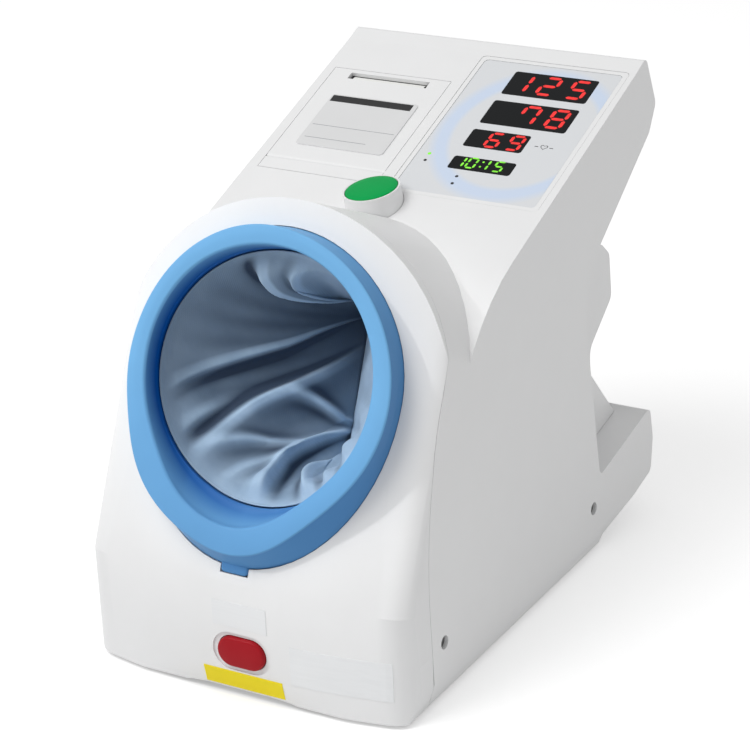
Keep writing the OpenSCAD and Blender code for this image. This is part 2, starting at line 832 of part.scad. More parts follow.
module stop_button() {
    color("firebrick")
    at_stop() {
        translate([0, 0, -stop_deep]) pill(stop_w, stop_h, stop_deep + stop_proud);
        translate([0, 0, -stop_deep - 4]) cylinder(r = 4, h = 4.5);
    }
}
module stop_switch() {
    color("darkslategray")
    translate([stop_x, -front_reach + stop_deep + 4 + stop_travel + 0.3, 0]) {
        translate([-10, 0, stop_z - 8]) cube([20, 12, 16]);
        translate([-10, 12, floor_z + post_gap]) cube([20, 3, stop_z + 8 - floor_z - post_gap]);
    }
}

// ---------------------------------------------------------------- plates

plate_proud = 0.3;
// Thin label on the front cover, w wide and h high, from its lower left corner at x and z
module front_label(x, z, w, h) {
    intersection() {
        difference() {
            arch_solid(-plate_proud, ground_gap);
            arch_solid(-0.02, ground_gap);
        }
        translate([x, -front_reach - 20, z]) cube([w, 70, h]);
    }
}
module stop_label() {
    color("gold") front_label(-25.5, 6.5, 59, 13);
}
module front_plate() {
    color("silver") front_label(-16, 51.5, 40, 18);
}
module name_plate() {
    color("silver") front_label(40, 20, 69, 27);
}

// ---------------------------------------------------------------- electronics

module main_board() {
    color("green")
    translate([board_pos[0], board_pos[1], board_z]) {
        cube(board_size);
        for (p = [[20, 20], [60, 30], [95, 24]])
            translate([p[0], p[1], 1]) cube([18, 18, 3]);
        translate([6, 60, 1]) cube([100, 10, 12]);
    }
}
module power_supply() {
    color("silver")
    translate([-80, -30, floor_z + post_gap]) cube([100, 70, 30]);
}
pump_r = 14;
pump_pos = [36, 20];
module air_pump() {
    color("dimgray")
    translate([pump_pos[0], pump_pos[1], floor_z + post_gap]) {
        translate([0, 0, pump_r + 1]) rotate([0, 90, 0]) cylinder(r = pump_r, h = 58);
        translate([8, -12, 0]) cube([40, 24, 6]);
    }
}
valve_pos = [52, -60];
module valve_block() {
    color("darkgray")
    translate([valve_pos[0], valve_pos[1], floor_z + post_gap]) {
        translate([-16, -13, 0]) cube([32, 26, 26]);
        cylinder(r = 3, h = 36);
        translate([6, 0, 18]) rotate([-90, 0, 0]) cylinder(r = 3, h = 24);
    }
}
hose_r = 4.6;
module air_hose() {
    color("black") {
        // valve to cuff
        translate([valve_pos[0], valve_pos[1], 0])
            difference() {
                translate([0, 0, 34]) cylinder(r = hose_r, h = 42);
                cylinder(r = 3.05, h = 200);
            }
        // valve to pump
        translate([valve_pos[0] + 6, valve_pos[1], floor_z + post_gap + 18])
            rotate([-90, 0, 0])
            difference() {
                translate([0, 0, 14]) cylinder(r = hose_r, h = 52 - 0.4);
                translate([0, 0, 10]) cylinder(r = 3.05, h = 80);
            }
    }
}
module winding_motor() {
    color("dimgray")
    translate([60, -120, floor_z + post_gap]) {
        translate([0, 0, 15]) rotate([0, 90, 0]) cylinder(r = 13, h = 40);
        translate([4, -11, 0]) cube([30, 22, 5]);
        translate([-8, 0, 15]) rotate([0, 90, 0]) cylinder(r = 3, h = 9);
    }
}
module speaker() {
    color("dimgray")
    translate([-74, -172, 0]) {
        translate([0, 0, 34]) rotate([-90, 0, 0]) cylinder(r = 20, h = 12);
        translate([-12, 6, floor_z + post_gap]) cube([24, 5, 14]);
    }
}

// ---------------------------------------------------------------- mains side

side_flush = 0.6;
module power_inlet() {
    x = -half_w(inlet_yz[1]) + side_flush;
    color("black")
    difference() {
        translate([x, inlet_yz[0] - inlet_size[1] / 2, inlet_yz[1] - inlet_size[2] / 2]) cube(inlet_size);
        translate([x - 1, inlet_yz[0] - 12, inlet_yz[1] - 8]) cube([16, 24, 16]);
    }
    color("silver")
    for (p = [[-6, -2], [0, 3], [6, -2]])
        translate([x + 4, inlet_yz[0] + p[0] - 1, inlet_yz[1] + p[1] - 2]) cube([11.2, 2, 4]);
}
rocker_r = 8;
rocker_w = 13;
rocker_swing = 8;
module switch_body() {
    x = -half_w(switch_yz[1]) + side_flush;
    color("black")
    difference() {
        translate([x, switch_yz[0] - switch_size[1] / 2, switch_yz[1] - switch_size[2] / 2])
            cube(switch_size);
        translate([x + rocker_r + 0.5, switch_yz[0] - rocker_w / 2 - 0.3, switch_yz[1]])
            rotate([-90, 0, 0])
            cylinder(r = rocker_r + 0.4, h = rocker_w + 0.6);
        translate([x - 1, switch_yz[0] - rocker_w / 2 - 0.3, switch_yz[1] - rocker_r - 0.4])
            cube([rocker_r + 1.5, rocker_w + 0.6, 2 * rocker_r + 0.8]);
        translate([x + rocker_r + 0.5, switch_yz[0] - 20, switch_yz[1]])
            rotate([-90, 0, 0])
            cylinder(r = 1.55, h = 40);
    }
}
module power_rocker() {
    x = -half_w(switch_yz[1]) + side_flush;
    color("black")
    translate([x + rocker_r + 0.5, switch_yz[0], switch_yz[1]])
        rotate([0, -rocker_swing, 0]) {
        intersection() {
            translate([0, -rocker_w / 2, 0]) rotate([-90, 0, 0]) cylinder(r = rocker_r, h = rocker_w);
            union()
                for (s = [-1, 1])
                    rotate([0, s * rocker_swing, 0])
                    translate([-rocker_r + 1.2, -rocker_w, s > 0 ? -30 : 0]) cube([30, 2 * rocker_w, 30]);
        }
        translate([0, -switch_size[1] / 2 + 0.5, 0])
            rotate([-90, 0, 0])
            cylinder(r = 1.5, h = switch_size[1] - 1);
    }
}

// ---------------------------------------------------------------- placing

head_back = max([for (p = soft_outline(case_side(ground_gap), case_side_r)) p[0]]);
middle_y = (head_back + tunnel_yz(-ring_drop, 0)[0]) / 2;
// Brings the middle of the whole device over the origin
module centred() {
    translate([0, -middle_y, 0]) children();
}

centred() upper_case();
centred() front_cover();
centred() base_chassis();
centred() rear_hood();
centred() elbow_rest();
centred() arm_ring();
centred() cuff_tube();
centred() air_cuff();
centred() cuff_liner();
centred() printer_cover();
centred() printer_label();
centred() hinge_strip();
centred() tear_bar();
centred() printer_chassis();
centred() print_head();
centred() platen_roller();
centred() paper_roll();
centred() display_frame();
centred() display_overlay();
centred() display_windows();
centred() digit_modules();
centred() display_board();
centred() button_housing();
centred() start_button();
centred() start_switch();
centred() stop_button();
centred() stop_switch();
centred() stop_label();
centred() front_plate();
centred() name_plate();
centred() case_screws();
centred() rubber_feet();
centred() main_board();
centred() power_supply();
centred() air_pump();
centred() valve_block();
centred() air_hose();
centred() winding_motor();
centred() speaker();
centred() power_inlet();
centred() switch_body();
centred() power_rocker();
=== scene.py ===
"""Looks of an arm-in blood pressure monitor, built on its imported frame.

Lengths in the functions are millimetres in the frame that the case was drawn in; placed() turns
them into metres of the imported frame.
"""

import json
import math

import bmesh
import bpy
import numpy as np
from mathutils import Matrix, Vector


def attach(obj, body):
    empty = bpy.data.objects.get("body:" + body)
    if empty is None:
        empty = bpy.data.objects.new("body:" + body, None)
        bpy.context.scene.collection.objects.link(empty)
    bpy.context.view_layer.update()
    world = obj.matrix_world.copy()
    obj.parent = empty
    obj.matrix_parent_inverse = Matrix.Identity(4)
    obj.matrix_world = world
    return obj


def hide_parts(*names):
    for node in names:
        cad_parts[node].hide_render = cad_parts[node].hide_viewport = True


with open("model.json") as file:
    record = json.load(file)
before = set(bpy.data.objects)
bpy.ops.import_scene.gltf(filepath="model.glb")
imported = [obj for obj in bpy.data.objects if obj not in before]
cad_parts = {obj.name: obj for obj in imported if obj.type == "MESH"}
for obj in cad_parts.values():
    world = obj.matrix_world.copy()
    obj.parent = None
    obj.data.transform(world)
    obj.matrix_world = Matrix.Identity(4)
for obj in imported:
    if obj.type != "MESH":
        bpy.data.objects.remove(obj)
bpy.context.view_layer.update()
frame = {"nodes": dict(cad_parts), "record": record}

# ---------------------------------------------------------------- places

SET_BACK = 1.8259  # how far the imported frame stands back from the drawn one, along Y
PANEL_TILT = math.radians(20)
PANEL_FOLD = (172.0, 326.5)  # Y and Z of the fold where the panel starts
TUNNEL_TILT = math.radians(24)
MOUTH_AT = (-148.7, 208.0)  # Y and Z of the middle of the ring's face
START_AT = (-5.0, 11.3, 280.811)  # middle of the start button's top
START_LEAN = (math.radians(9), math.radians(-6))
STOP_AT = (4.0, -189.5, 34.0)  # middle of the stop button, on the front
TAB_AT = (0.0, -117.9)  # x and v of the middle of the ring's release tab


def placed(x, y, z):
    """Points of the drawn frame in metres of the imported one: Y less the set-back, over 1000."""
    x, y, z = np.broadcast_arrays(x, y, z)
    return np.stack([x, y - SET_BACK, z], axis=-1) / 1000.0


def on_panel(x, v, n):
    """Sloping panel: v runs up the 20 degree slope from the fold, n stands out of the panel."""
    return placed(
        x,
        PANEL_FOLD[0] + v * math.cos(PANEL_TILT) - n * math.sin(PANEL_TILT),
        PANEL_FOLD[1] + v * math.sin(PANEL_TILT) + n * math.cos(PANEL_TILT),
    )


def in_tunnel(x, v, w):
    """Arm tunnel: v runs up the face of the ring, leaning 24 degrees, and w out of the opening."""
    return placed(
        x,
        MOUTH_AT[0] + v * math.sin(TUNNEL_TILT) - w * math.cos(TUNNEL_TILT),
        MOUTH_AT[1] + v * math.cos(TUNNEL_TILT) + w * math.sin(TUNNEL_TILT),
    )


def at_start(x, y, z):
    """Start button: z stands out of the button, turned about X, then Y, from the upright."""
    turn_x, turn_y = START_LEAN
    cos_x, sin_x = math.cos(turn_x), math.sin(turn_x)
    cos_y, sin_y = math.cos(turn_y), math.sin(turn_y)
    y, z = y * cos_x - z * sin_x, y * sin_x + z * cos_x
    x, z = x * cos_y + z * sin_y, z * cos_y - x * sin_y
    return placed(START_AT[0] + x, START_AT[1] + y, START_AT[2] + z)


def at_stop(x, y, z):
    """Stop button: y runs up the front, z out of it."""
    return placed(STOP_AT[0] + x, STOP_AT[1] - z, STOP_AT[2] + y)


# ---------------------------------------------------------------- camera

# Where the photograph was taken from, fitted to the straight edges of the case
CAMERA_TURN = math.radians(30.7954)
CAMERA_RISE = math.radians(23.2917)
CAMERA_ROLL = math.radians(-2.5353)
CAMERA_REACH = 1564.726
CAMERA_TARGET = (86.726, -147.940, 224.700)
CAMERA_LENS = 124.78


def set_camera():
    """A camera that looks back along the line at the turn and rise above, rolled about it."""
    away = Vector(
        (
            math.sin(CAMERA_TURN) * math.cos(CAMERA_RISE),
            -math.cos(CAMERA_TURN) * math.cos(CAMERA_RISE),
            math.sin(CAMERA_RISE),
        )
    )
    across = Vector((math.cos(CAMERA_TURN), math.sin(CAMERA_TURN), 0.0))
    up = away.cross(across)
    right = across * math.cos(CAMERA_ROLL) + up * math.sin(CAMERA_ROLL)
    top = up * math.cos(CAMERA_ROLL) - across * math.sin(CAMERA_ROLL)
    target = Vector(placed(*CAMERA_TARGET).tolist())
    at = target + away * (CAMERA_REACH / 1000.0)
    turn = Matrix((right, top, away)).transposed().to_4x4()
    data = bpy.data.cameras.new("photo_view")
    data.lens = CAMERA_LENS
    data.sensor_width = 36.0
    data.clip_start = 0.05
    data.clip_end = 60.0
    camera = bpy.data.objects.new("photo_view", data)
    camera.matrix_world = Matrix.Translation(at) @ turn
    bpy.context.scene.collection.objects.link(camera)
    bpy.context.scene.camera = camera


set_camera()

# ---------------------------------------------------------------- finishes


def new_finish(name):
    """An empty node material with its shader, and a function that adds a node to it."""
    finish = bpy.data.materials.new(name)
    finish.use_nodes = True
    tree = finish.node_tree
    shader = tree.nodes["Principled BSDF"]

    def add(kind, **values):
        node = tree.nodes.new(kind)
        for key, value in values.items():
            if key in node.inputs:
                node.inputs[key].default_value = value
            else:
                setattr(node, key, value)
        return node

    return finish, tree, shader, add


def blend_colours(tree, shader, factor, low, high, start=0.35, end=0.65):
    """Colour of the shader runs from low to high as the factor goes from start to end."""
    ramp = tree.nodes.new("ShaderNodeValToRGB")
    ramp.color_ramp.elements[0].position = start
    ramp.color_ramp.elements[1].position = end
    ramp.color_ramp.elements[0].color = (*low, 1.0)
    ramp.color_ramp.elements[1].color = (*high, 1.0)
    tree.links.new(factor, ramp.inputs["Fac"])
    tree.links.new(ramp.outputs["Color"], shader.inputs["Base Color"])
    return ramp


def moulded(name, colour, rough, grain=0.0007, relief=0.00002, shade=0.03, specular=0.5):
    """Moulded plastic: a slow cloud of slightly darker colour and roughness, and a fine grain."""
    finish, tree, shader, add = new_finish(name)
    shader.inputs["Specular IOR Level"].default_value = specular
    place = add("ShaderNodeTexCoord").outputs["Object"]
    cloud = add("ShaderNodeTexNoise", Scale=24.0, Detail=3.0, Roughness=0.6)
    fine = add("ShaderNodeTexNoise", Scale=1.0 / grain, Detail=2.0, Roughness=0.55)
    tree.links.new(place, cloud.inputs["Vector"])
    tree.links.new(place, fine.inputs["Vector"])
    low = tuple(c * (1.0 - shade) for c in colour)
    blend_colours(tree, shader, cloud.outputs["Fac"], low, colour)
    spread = add("ShaderNodeMapRange", **{"To Min": rough - 0.05, "To Max": rough + 0.06})
    tree.links.new(cloud.outputs["Fac"], spread.inputs["Value"])
    tree.links.new(spread.outputs["Result"], shader.inputs["Roughness"])
    bump = add("ShaderNodeBump", Strength=0.35, Distance=relief)
    tree.links.new(fine.outputs["Fac"], bump.inputs["Height"])
    tree.links.new(bump.outputs["Normal"], shader.inputs["Normal"])
    return finish


def brushed(name, colour, rough, stretch=(6.0, 900.0, 900.0), metallic=1.0, streaks=0.88):
    """Brushed metal or silvery film: fine streaks along one axis, in colour and relief."""
    finish, tree, shader, add = new_finish(name)
    shader.inputs["Metallic"].default_value = metallic
    place = add("ShaderNodeTexCoord").outputs["Object"]
    lay = add("ShaderNodeMapping", Scale=stretch)
    streak = add("ShaderNodeTexNoise", Scale=1.0, Detail=4.0, Roughness=0.65)
    tree.links.new(place, lay.inputs["Vector"])
    tree.links.new(lay.outputs["Vector"], streak.inputs["Vector"])
    low = tuple(c * streaks for c in colour)
    blend_colours(tree, shader, streak.outputs["Fac"], low, colour)
    spread = add("ShaderNodeMapRange", **{"To Min": rough - 0.08, "To Max": rough + 0.10})
    tree.links.new(streak.outputs["Fac"], spread.inputs["Value"])
    tree.links.new(spread.outputs["Result"], shader.inputs["Roughness"])
    bump = add("ShaderNodeBump", Strength=0.25, Distance=0.00002)
    tree.links.new(streak.outputs["Fac"], bump.inputs["Height"])
    tree.links.new(bump.outputs["Normal"], shader.inputs["Normal"])
    return finish


def painted_shade_colours(tree, shader, factor, low, high, painted_shade_colour):
    """Colour from low to high with the factor, drawn towards a painted shade colour where the
    piece's own painted-shade attribute is high."""
    ramp = blend_colours(tree, shader, factor, low, high, 0.3, 0.7)
    # Painted shade: the piece's painted-shade attribute draws its colour towards a dark colour.
    painted_shade = tree.nodes.new("ShaderNodeAttribute")
    painted_shade.attribute_name = "painted_shade"
    mix = tree.nodes.new("ShaderNodeMix")
    mix.data_type = "RGBA"
    mix.inputs["B"].default_value = (*painted_shade_colour, 1.0)
    tree.links.new(painted_shade.outputs["Fac"], mix.inputs["Factor"])
    tree.links.new(ramp.outputs["Color"], mix.inputs["A"])
    tree.links.new(mix.outputs["Result"], shader.inputs["Base Color"])


def circuit_board(name):
    """Green board: a lattice of copper tracks under the lacquer."""
    finish, tree, shader, add = new_finish(name)
    shader.inputs["Coat Weight"].default_value = 0.3
    place = add("ShaderNodeTexCoord").outputs["Object"]
    tracks = add("ShaderNodeTexBrick", Scale=90.0, **{"Mortar Size": 0.03, "Brick Width": 0.7})
    tracks.inputs["Color1"].default_value = (0.012, 0.085, 0.035, 1.0)
    tracks.inputs["Color2"].default_value = (0.016, 0.105, 0.045, 1.0)
    tracks.inputs["Mortar"].default_value = (0.05, 0.22, 0.08, 1.0)
    tree.links.new(place, tracks.inputs["Vector"])
    tree.links.new(tracks.outputs["Color"], shader.inputs["Base Color"])
    bump = add("ShaderNodeBump", Strength=0.4, Distance=0.00005)
    tree.links.new(tracks.outputs["Fac"], bump.inputs["Height"])
    tree.links.new(bump.outputs["Normal"], shader.inputs["Normal"])
    shader.inputs["Roughness"].default_value = 0.35
    return finish


def liner_weave(name):
    """Thin cloth: warp and weft threads 0.5 mm apart on the cloth's own UV, with a soft sheen,
    and painted shade drawn into its colour where its painted-shade attribute is high.
    """
    finish, tree, shader, add = new_finish(name)
    shader.inputs["Roughness"].default_value = 0.75
    shader.inputs["Sheen Weight"].default_value = 0.35
    shader.inputs["Sheen Roughness"].default_value = 0.4
    shader.inputs["Sheen Tint"].default_value = (0.75, 0.85, 1.0, 1.0)
    lay = add("ShaderNodeUVMap", uv_map="cloth").outputs["UV"]
    warp = add("ShaderNodeTexWave", Scale=320.0, Distortion=0.6, bands_direction="X")
    weft = add("ShaderNodeTexWave", Scale=320.0, Distortion=0.6, bands_direction="Y")
    cloud = add("ShaderNodeTexNoise", Scale=45.0, Detail=5.0, Roughness=0.6)
    for pattern in (warp, weft, cloud):
        tree.links.new(lay, pattern.inputs["Vector"])
    weave = add("ShaderNodeMath", operation="MAXIMUM")
    tree.links.new(warp.outputs["Fac"], weave.inputs[0])
    tree.links.new(weft.outputs["Fac"], weave.inputs[1])
    painted_shade_colours(tree, shader, cloud.outputs["Fac"], LINER_LOW, LINER_HIGH, LINER_PAINTED_SHADE)
    bump = add("ShaderNodeBump", Strength=0.5, Distance=0.0001)
    tree.links.new(weave.outputs["Value"], bump.inputs["Height"])
    tree.links.new(bump.outputs["Normal"], shader.inputs["Normal"])
    return finish


def overlay_film(name):
    """Grey film with a pale blue band round the windows: where the distance from the middle of an
    ellipse on the panel, in units of its half axes, is near 1."""
    finish, tree, shader, add = new_finish(name)
    shader.inputs["Roughness"].default_value = 0.36
    place = add("ShaderNodeTexCoord").outputs["Object"]
    middle = on_panel(64.0, -79.0, 0.0)
    lay = add("ShaderNodeMapping", vector_type="TEXTURE")
    lay.inputs["Location"].default_value = middle.tolist()
    lay.inputs["Rotation"].default_value = (PANEL_TILT, 0.0, math.radians(8.0))
    lay.inputs["Scale"].default_value = (0.058, 0.067, 1.0)
    tree.links.new(place, lay.inputs["Vector"])
    reach = add("ShaderNodeVectorMath", operation="LENGTH")
    flat = add("ShaderNodeVectorMath", operation="MULTIPLY")
    flat.inputs[1].default_value = (1.0, 1.0, 0.0)
    tree.links.new(lay.outputs["Vector"], flat.inputs[0])
    tree.links.new(flat.outputs["Vector"], reach.inputs[0])
    ramp = add("ShaderNodeValToRGB")
    stops = ramp.color_ramp.elements
    grey = (0.700, 0.715, 0.735, 1.0)
    blue = (0.600, 0.690, 0.840, 1.0)
    stops[0].position = 0.42
    stops[0].color = grey
    stops[1].position = 0.455
    stops[1].color = blue
    for position, colour in ((0.50, blue), (0.56, grey)):
        stop = stops.new(position)
        stop.color = colour
    half = add("ShaderNodeMath", operation="MULTIPLY")
    half.inputs[1].default_value = 0.5
    tree.links.new(reach.outputs["Value"], half.inputs[0])
    tree.links.new(half.outputs["Value"], ramp.inputs["Fac"])
    tree.links.new(ramp.outputs["Color"], shader.inputs["Base Color"])
    fine = add("ShaderNodeTexNoise", Scale=1500.0, Detail=2.0)
    tree.links.new(place, fine.inputs["Vector"])
    bump = add("ShaderNodeBump", Strength=0.3, Distance=0.00001)
    tree.links.new(fine.outputs["Fac"], bump.inputs["Height"])
    tree.links.new(bump.outputs["Normal"], shader.inputs["Normal"])
    return finish


def lit_segments(name, colour, strength):
    """Lit display segment: a coloured glow, a little stronger where slow noise is high."""
    finish, tree, shader, add = new_finish(name)
    shader.inputs["Emission Color"].default_value = (*colour, 1.0)
    shader.inputs["Roughness"].default_value = 0.4
    place = add("ShaderNodeTexCoord").outputs["Object"]
    cloud = add("ShaderNodeTexNoise", Scale=300.0, Detail=1.0)
    tree.links.new(place, cloud.inputs["Vector"])
    blend_colours(tree, shader, cloud.outputs["Fac"], tuple(c * 0.6 for c in colour), colour)
    spread = add(
        "ShaderNodeMapRange", **{"To Min": strength * 0.8, "To Max": strength * 1.2}
    )
    tree.links.new(cloud.outputs["Fac"], spread.inputs["Value"])
    tree.links.new(spread.outputs["Result"], shader.inputs["Emission Strength"])
    return finish


def ring_plastic(name):
    """The ring's blue plastic, as moulded, with painted shade in its scoop, on its lower right wall
    and low on its face.
    """
    finish = moulded(name, RING_BLUE, 0.42, shade=0.04, specular=0.05)
    tree = finish.node_tree
    noises = [node for node in tree.nodes if node.type == "TEX_NOISE"]
    cloud = min(noises, key=lambda node: node.inputs["Scale"].default_value)
    low = tuple(c * 0.96 for c in RING_BLUE)
    shader = tree.nodes["Principled BSDF"]
    painted_shade_colours(tree, shader, cloud.outputs["Fac"], low, RING_BLUE, RING_PAINTED_SHADE)
    return finish


LINER_LOW = (0.285, 0.405, 0.545)
LINER_HIGH = (0.370, 0.505, 0.655)
# Painted shade colour of the cloth, mixed in by its painted-shade attribute.
LINER_PAINTED_SHADE = (0.011, 0.029, 0.064)
RING_BLUE = (0.165, 0.405, 0.690)
# Painted shade colour of the ring's blue, mixed in by its painted-shade attribute.
RING_PAINTED_SHADE = (0.001, 0.070, 0.310)
FINISHES = {
    "white_shell": moulded("white_shell", (0.815, 0.817, 0.820), 0.42, shade=0.015),
    "inner_plastic": moulded("inner_plastic", (0.56, 0.57, 0.57), 0.55),
    "blue_plastic": ring_plastic("blue_plastic"),
    "liner_cloth": liner_weave("liner_cloth"),
    "cuff_rubber": moulded("cuff_rubber", (0.05, 0.055, 0.065), 0.7, relief=0.00005),
    "grey_label": moulded("grey_label", (0.700, 0.702, 0.706), 0.5, shade=0.02),
    "grey_overlay": overlay_film("grey_overlay"),
    "dark_window": moulded(
        "dark_window", (0.005, 0.006, 0.007), 0.16, relief=0.000003, specular=0.14
    ),
    "green_button": moulded("green_button", (0.002, 0.360, 0.080), 0.45, shade=0.06, specular=0.06),
    "red_button": moulded("red_button", (0.360, 0.008, 0.015), 0.36, shade=0.08, specular=0.12),
    "yellow_label": moulded("yellow_label", (0.900, 0.740, 0.015), 0.5, shade=0.05, specular=0.2),
    "silver_plate": brushed(
        "silver_plate", (0.80, 0.81, 0.82), 0.50, (4.0, 300.0, 300.0), 0.15, 0.97
    ),
    "steel": brushed("steel", (0.16, 0.16, 0.165), 0.32),
    "dark_parts": moulded("dark_parts", (0.018, 0.018, 0.020), 0.5),
    "black_plastic": moulded("black_plastic", (0.010, 0.010, 0.011), 0.4),
    "board": circuit_board("board"),
    "roller_rubber": moulded("roller_rubber", (0.012, 0.012, 0.013), 0.65, relief=0.00004),
    "foot_rubber": moulded("foot_rubber", (0.015, 0.015, 0.016), 0.75, relief=0.00005),
    "paper": moulded("paper", (0.83, 0.83, 0.81), 0.8, grain=0.0004, relief=0.00003),
}
print_black = moulded("print_black", (0.012, 0.012, 0.013), 0.5)
print_grey = moulded("print_grey", (0.30, 0.31, 0.33), 0.5)
lit_red = lit_segments("lit_red", (0.85, 0.020, 0.018), 0.45)
lit_green = lit_segments("lit_green", (0.22, 0.80, 0.04), 0.45)

for part in frame["record"]["subparts"]:
    node = frame["nodes"][part["node"]]
    node.data.materials.clear()
    node.data.materials.append(FINISHES[part["material_slot"]])

# ---------------------------------------------------------------- meshes


def grid_faces(rows, columns, around, along):
    """Four-sided faces of a grid of points; around joins its last column to the first, along its
    last row to the first."""
    i, j = np.meshgrid(
        np.arange(rows if along else rows - 1),
        np.arange(columns if around else columns - 1),
        indexing="ij",
    )
    i2, j2 = (i + 1) % rows, (j + 1) % columns
    corners = [i * columns + j, i * columns + j2, i2 * columns + j2, i2 * columns + j]
    return np.stack(corners, axis=-1).reshape(-1, 4)


def new_piece(
    name, points, faces, body, slot, replaces=(), crease=35.0, merge=True, finish=None
):
    """A piece from its points and faces: doubles merged, faces turned outwards, edges sharper than
    the crease angle kept sharp. Its finish is its slot's, unless another one is given."""
    mesh = bpy.data.meshes.new(name)
    mesh.from_pydata(np.asarray(points, float).reshape(-1, 3).tolist(), [], faces)
    if merge:
        work = bmesh.new()
        work.from_mesh(mesh)
        bmesh.ops.remove_doubles(work, verts=work.verts, dist=2e-6)
        bmesh.ops.recalc_face_normals(work, faces=work.faces)
        work.to_mesh(mesh)
        work.free()
    mesh.shade_smooth()
    mesh.set_sharp_from_angle(angle=math.radians(crease))
    mesh.materials.append(finish or FINISHES[slot])
    piece = bpy.data.objects.new(name, mesh)
    bpy.context.scene.collection.objects.link(piece)
    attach(piece, body)
    if replaces:
        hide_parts(*replaces)
    return piece


def grid_piece(name, points, body, slot, around=True, along=False, **more):
    """A piece from a grid of points, rows by columns by 3."""
    rows, columns = points.shape[:2]
    faces = grid_faces(rows, columns, around, along).tolist()
    return new_piece(name, points, faces, body, slot, **more)


def soft_copy(node, body, slot, name, crease=30.0):
    """A merged copy of a CAD node whose faces of one round blend, with flat faces kept flat."""
    source = frame["nodes"][node].data
    flat = np.zeros(len(source.vertices) * 3, np.float32)
    source.vertices.foreach_get("co", flat)
    corners = np.zeros(len(source.loops), np.int32)
    source.loops.foreach_get("vertex_index", corners)
    faces = corners.reshape(-1, 3).tolist()
    piece = new_piece(name, flat.reshape(-1, 3), faces, body, slot, (node,), crease)
    even = piece.modifiers.new("even_normals", "WEIGHTED_NORMAL")
    even.mode = "FACE_AREA_WITH_ANGLE"
    even.keep_sharp = True
    return piece


def rounded_box_outline(half_x, half_y, radius, steps=8):
    """Rectangle with quarter rounds at its corners, anticlockwise, about the middle."""
    turn = np.linspace(0.0, math.pi / 2, steps + 1)
    corners = [(1, 1, 0), (-1, 1, 1), (-1, -1, 2), (1, -1, 3)]
    sides = [
        (
            sx * (half_x - radius) + radius * np.cos(turn + quarter * math.pi / 2),
            sy * (half_y - radius) + radius * np.sin(turn + quarter * math.pi / 2),
        )
        for sx, sy, quarter in corners
    ]
    return np.concatenate([s[0] for s in sides]), np.concatenate([s[1] for s in sides])


def crowned_plate(half_x, half_y, radius, low, high, edge, crown=0.0):
    """Plate with a rounded top edge, as inset copies of its outline: x, y, z grids. It is closed
    below and above onto the long middle line of the outline."""
    turn = np.linspace(0.0, math.pi / 2, 6)
    deepest = min(half_x, half_y) - 1e-4
    inner = np.linspace(edge, deepest, 6)[1:]
    insets = np.concatenate([[deepest, 0.0], edge * (1 - np.cos(turn)), inner])
    rise = high - crown
    share = (inner - edge) / (deepest - edge)
    heights = np.concatenate(
        [[low, low], rise - edge + edge * np.sin(turn), rise + crown * (1 - (1 - share) ** 2)]
    )
    rows = [
        rounded_box_outline(half_x - d, half_y - d, max(radius - d, 1e-4)) for d in insets
    ]
    x = np.stack([r[0] for r in rows])
    y = np.stack([r[1] for r in rows])
    return x, y, np.broadcast_to(heights[:, None], x.shape)


def turned(profile, columns=96):
    """Surface of revolution of (radius, height) points: x, y, z grids."""
    radius, height = np.asarray(profile, float).T
    angle = np.linspace(0.0, 2 * math.pi, columns, endpoint=False)
    return (
        radius[:, None] * np.cos(angle),
        radius[:, None] * np.sin(angle),
        np.broadcast_to(height[:, None], (len(radius), columns)),
    )


def prisms(name, outlines, low, high, finish, slot, body="monitor", place=on_panel):
    """Thin closed prisms: each outline (k points) stands from low to high on the panel."""
    points, faces, first = [], [], 0
    for outline in outlines:
        x, v = np.asarray(outline, float).T
        count = len(x)
        points.append(place(x, v, np.full(count, low)))
        points.append(place(x, v, np.full(count, high)))
        ring = np.arange(count)
        after = (ring + 1) % count
        sides = np.stack([ring, after, after + count, ring + count], axis=-1) + first
        faces.append((ring[::-1] + first).tolist())
        faces.append((ring + count + first).tolist())
        faces.extend(sides.tolist())
        first += 2 * count
    points = np.concatenate(points)
    return new_piece(name, points, faces, body, slot, merge=False, finish=finish)


# ---------------------------------------------------------------- case

for shown, moves in (
    ("upper_case", "monitor"),
    ("front_cover", "monitor"),
    ("rear_hood", "monitor"),
    ("elbow_rest", "monitor"),
    ("button_housing", "monitor"),
):
    soft_copy(shown, moves, "white_shell", shown + "_skin")

# ---------------------------------------------------------------- arm ring


# Distances from the axis, mm, by angle in degrees, of the edge of the ring's face and of its lip.
# The lobe below leans to the left.
FACE_AT = (-158, -140, -130, -118, -106, -94, -85, -77, -69, -60, -51, -38, -27, -8, 10, 30, 56,
           75, 92, 107, 130, 150, 170)
FACE_R = (95.4, 101.8, 105.6, 107.6, 109.6, 111.9, 112.5, 109.6, 104.6, 100.2, 97.6, 96.4, 96.6,
          96.6, 95.6, 94.0, 92.8, 93.2, 94.8, 96.0, 95.8, 94.8, 94.0)
LIP_AT = (-160, -150, -145, -137, -130, -121, -110, -104, -97, -87, -78, -68, -60, -51, -45, -30,
          0, 60, 100, 130, 160, 180)
LIP_R = (81.8, 82.2, 82.8, 84.0, 86.4, 90.2, 93.0, 94.0, 94.8, 94.4, 91.6, 87.6, 84.6, 82.8,
         82.2, 82.0, 82.0, 82.0, 82.6, 84.0, 83.0, 82.0)


def smooth_round(angle, at, values):
    """A closed curve through values at angles in degrees: its Fourier series, cut at the 12th
    harmonic and faded towards it."""
    even = np.linspace(-180.0, 180.0, 720, endpoint=False)
    waves = np.fft.rfft(np.interp(even, at, values, period=360.0))
    order = np.arange(len(waves))
    waves = waves * np.exp(-((order / 12.0) ** 4))
    turn = np.degrees(angle)
    return np.interp(turn, even, np.fft.irfft(waves, 720), period=360.0)


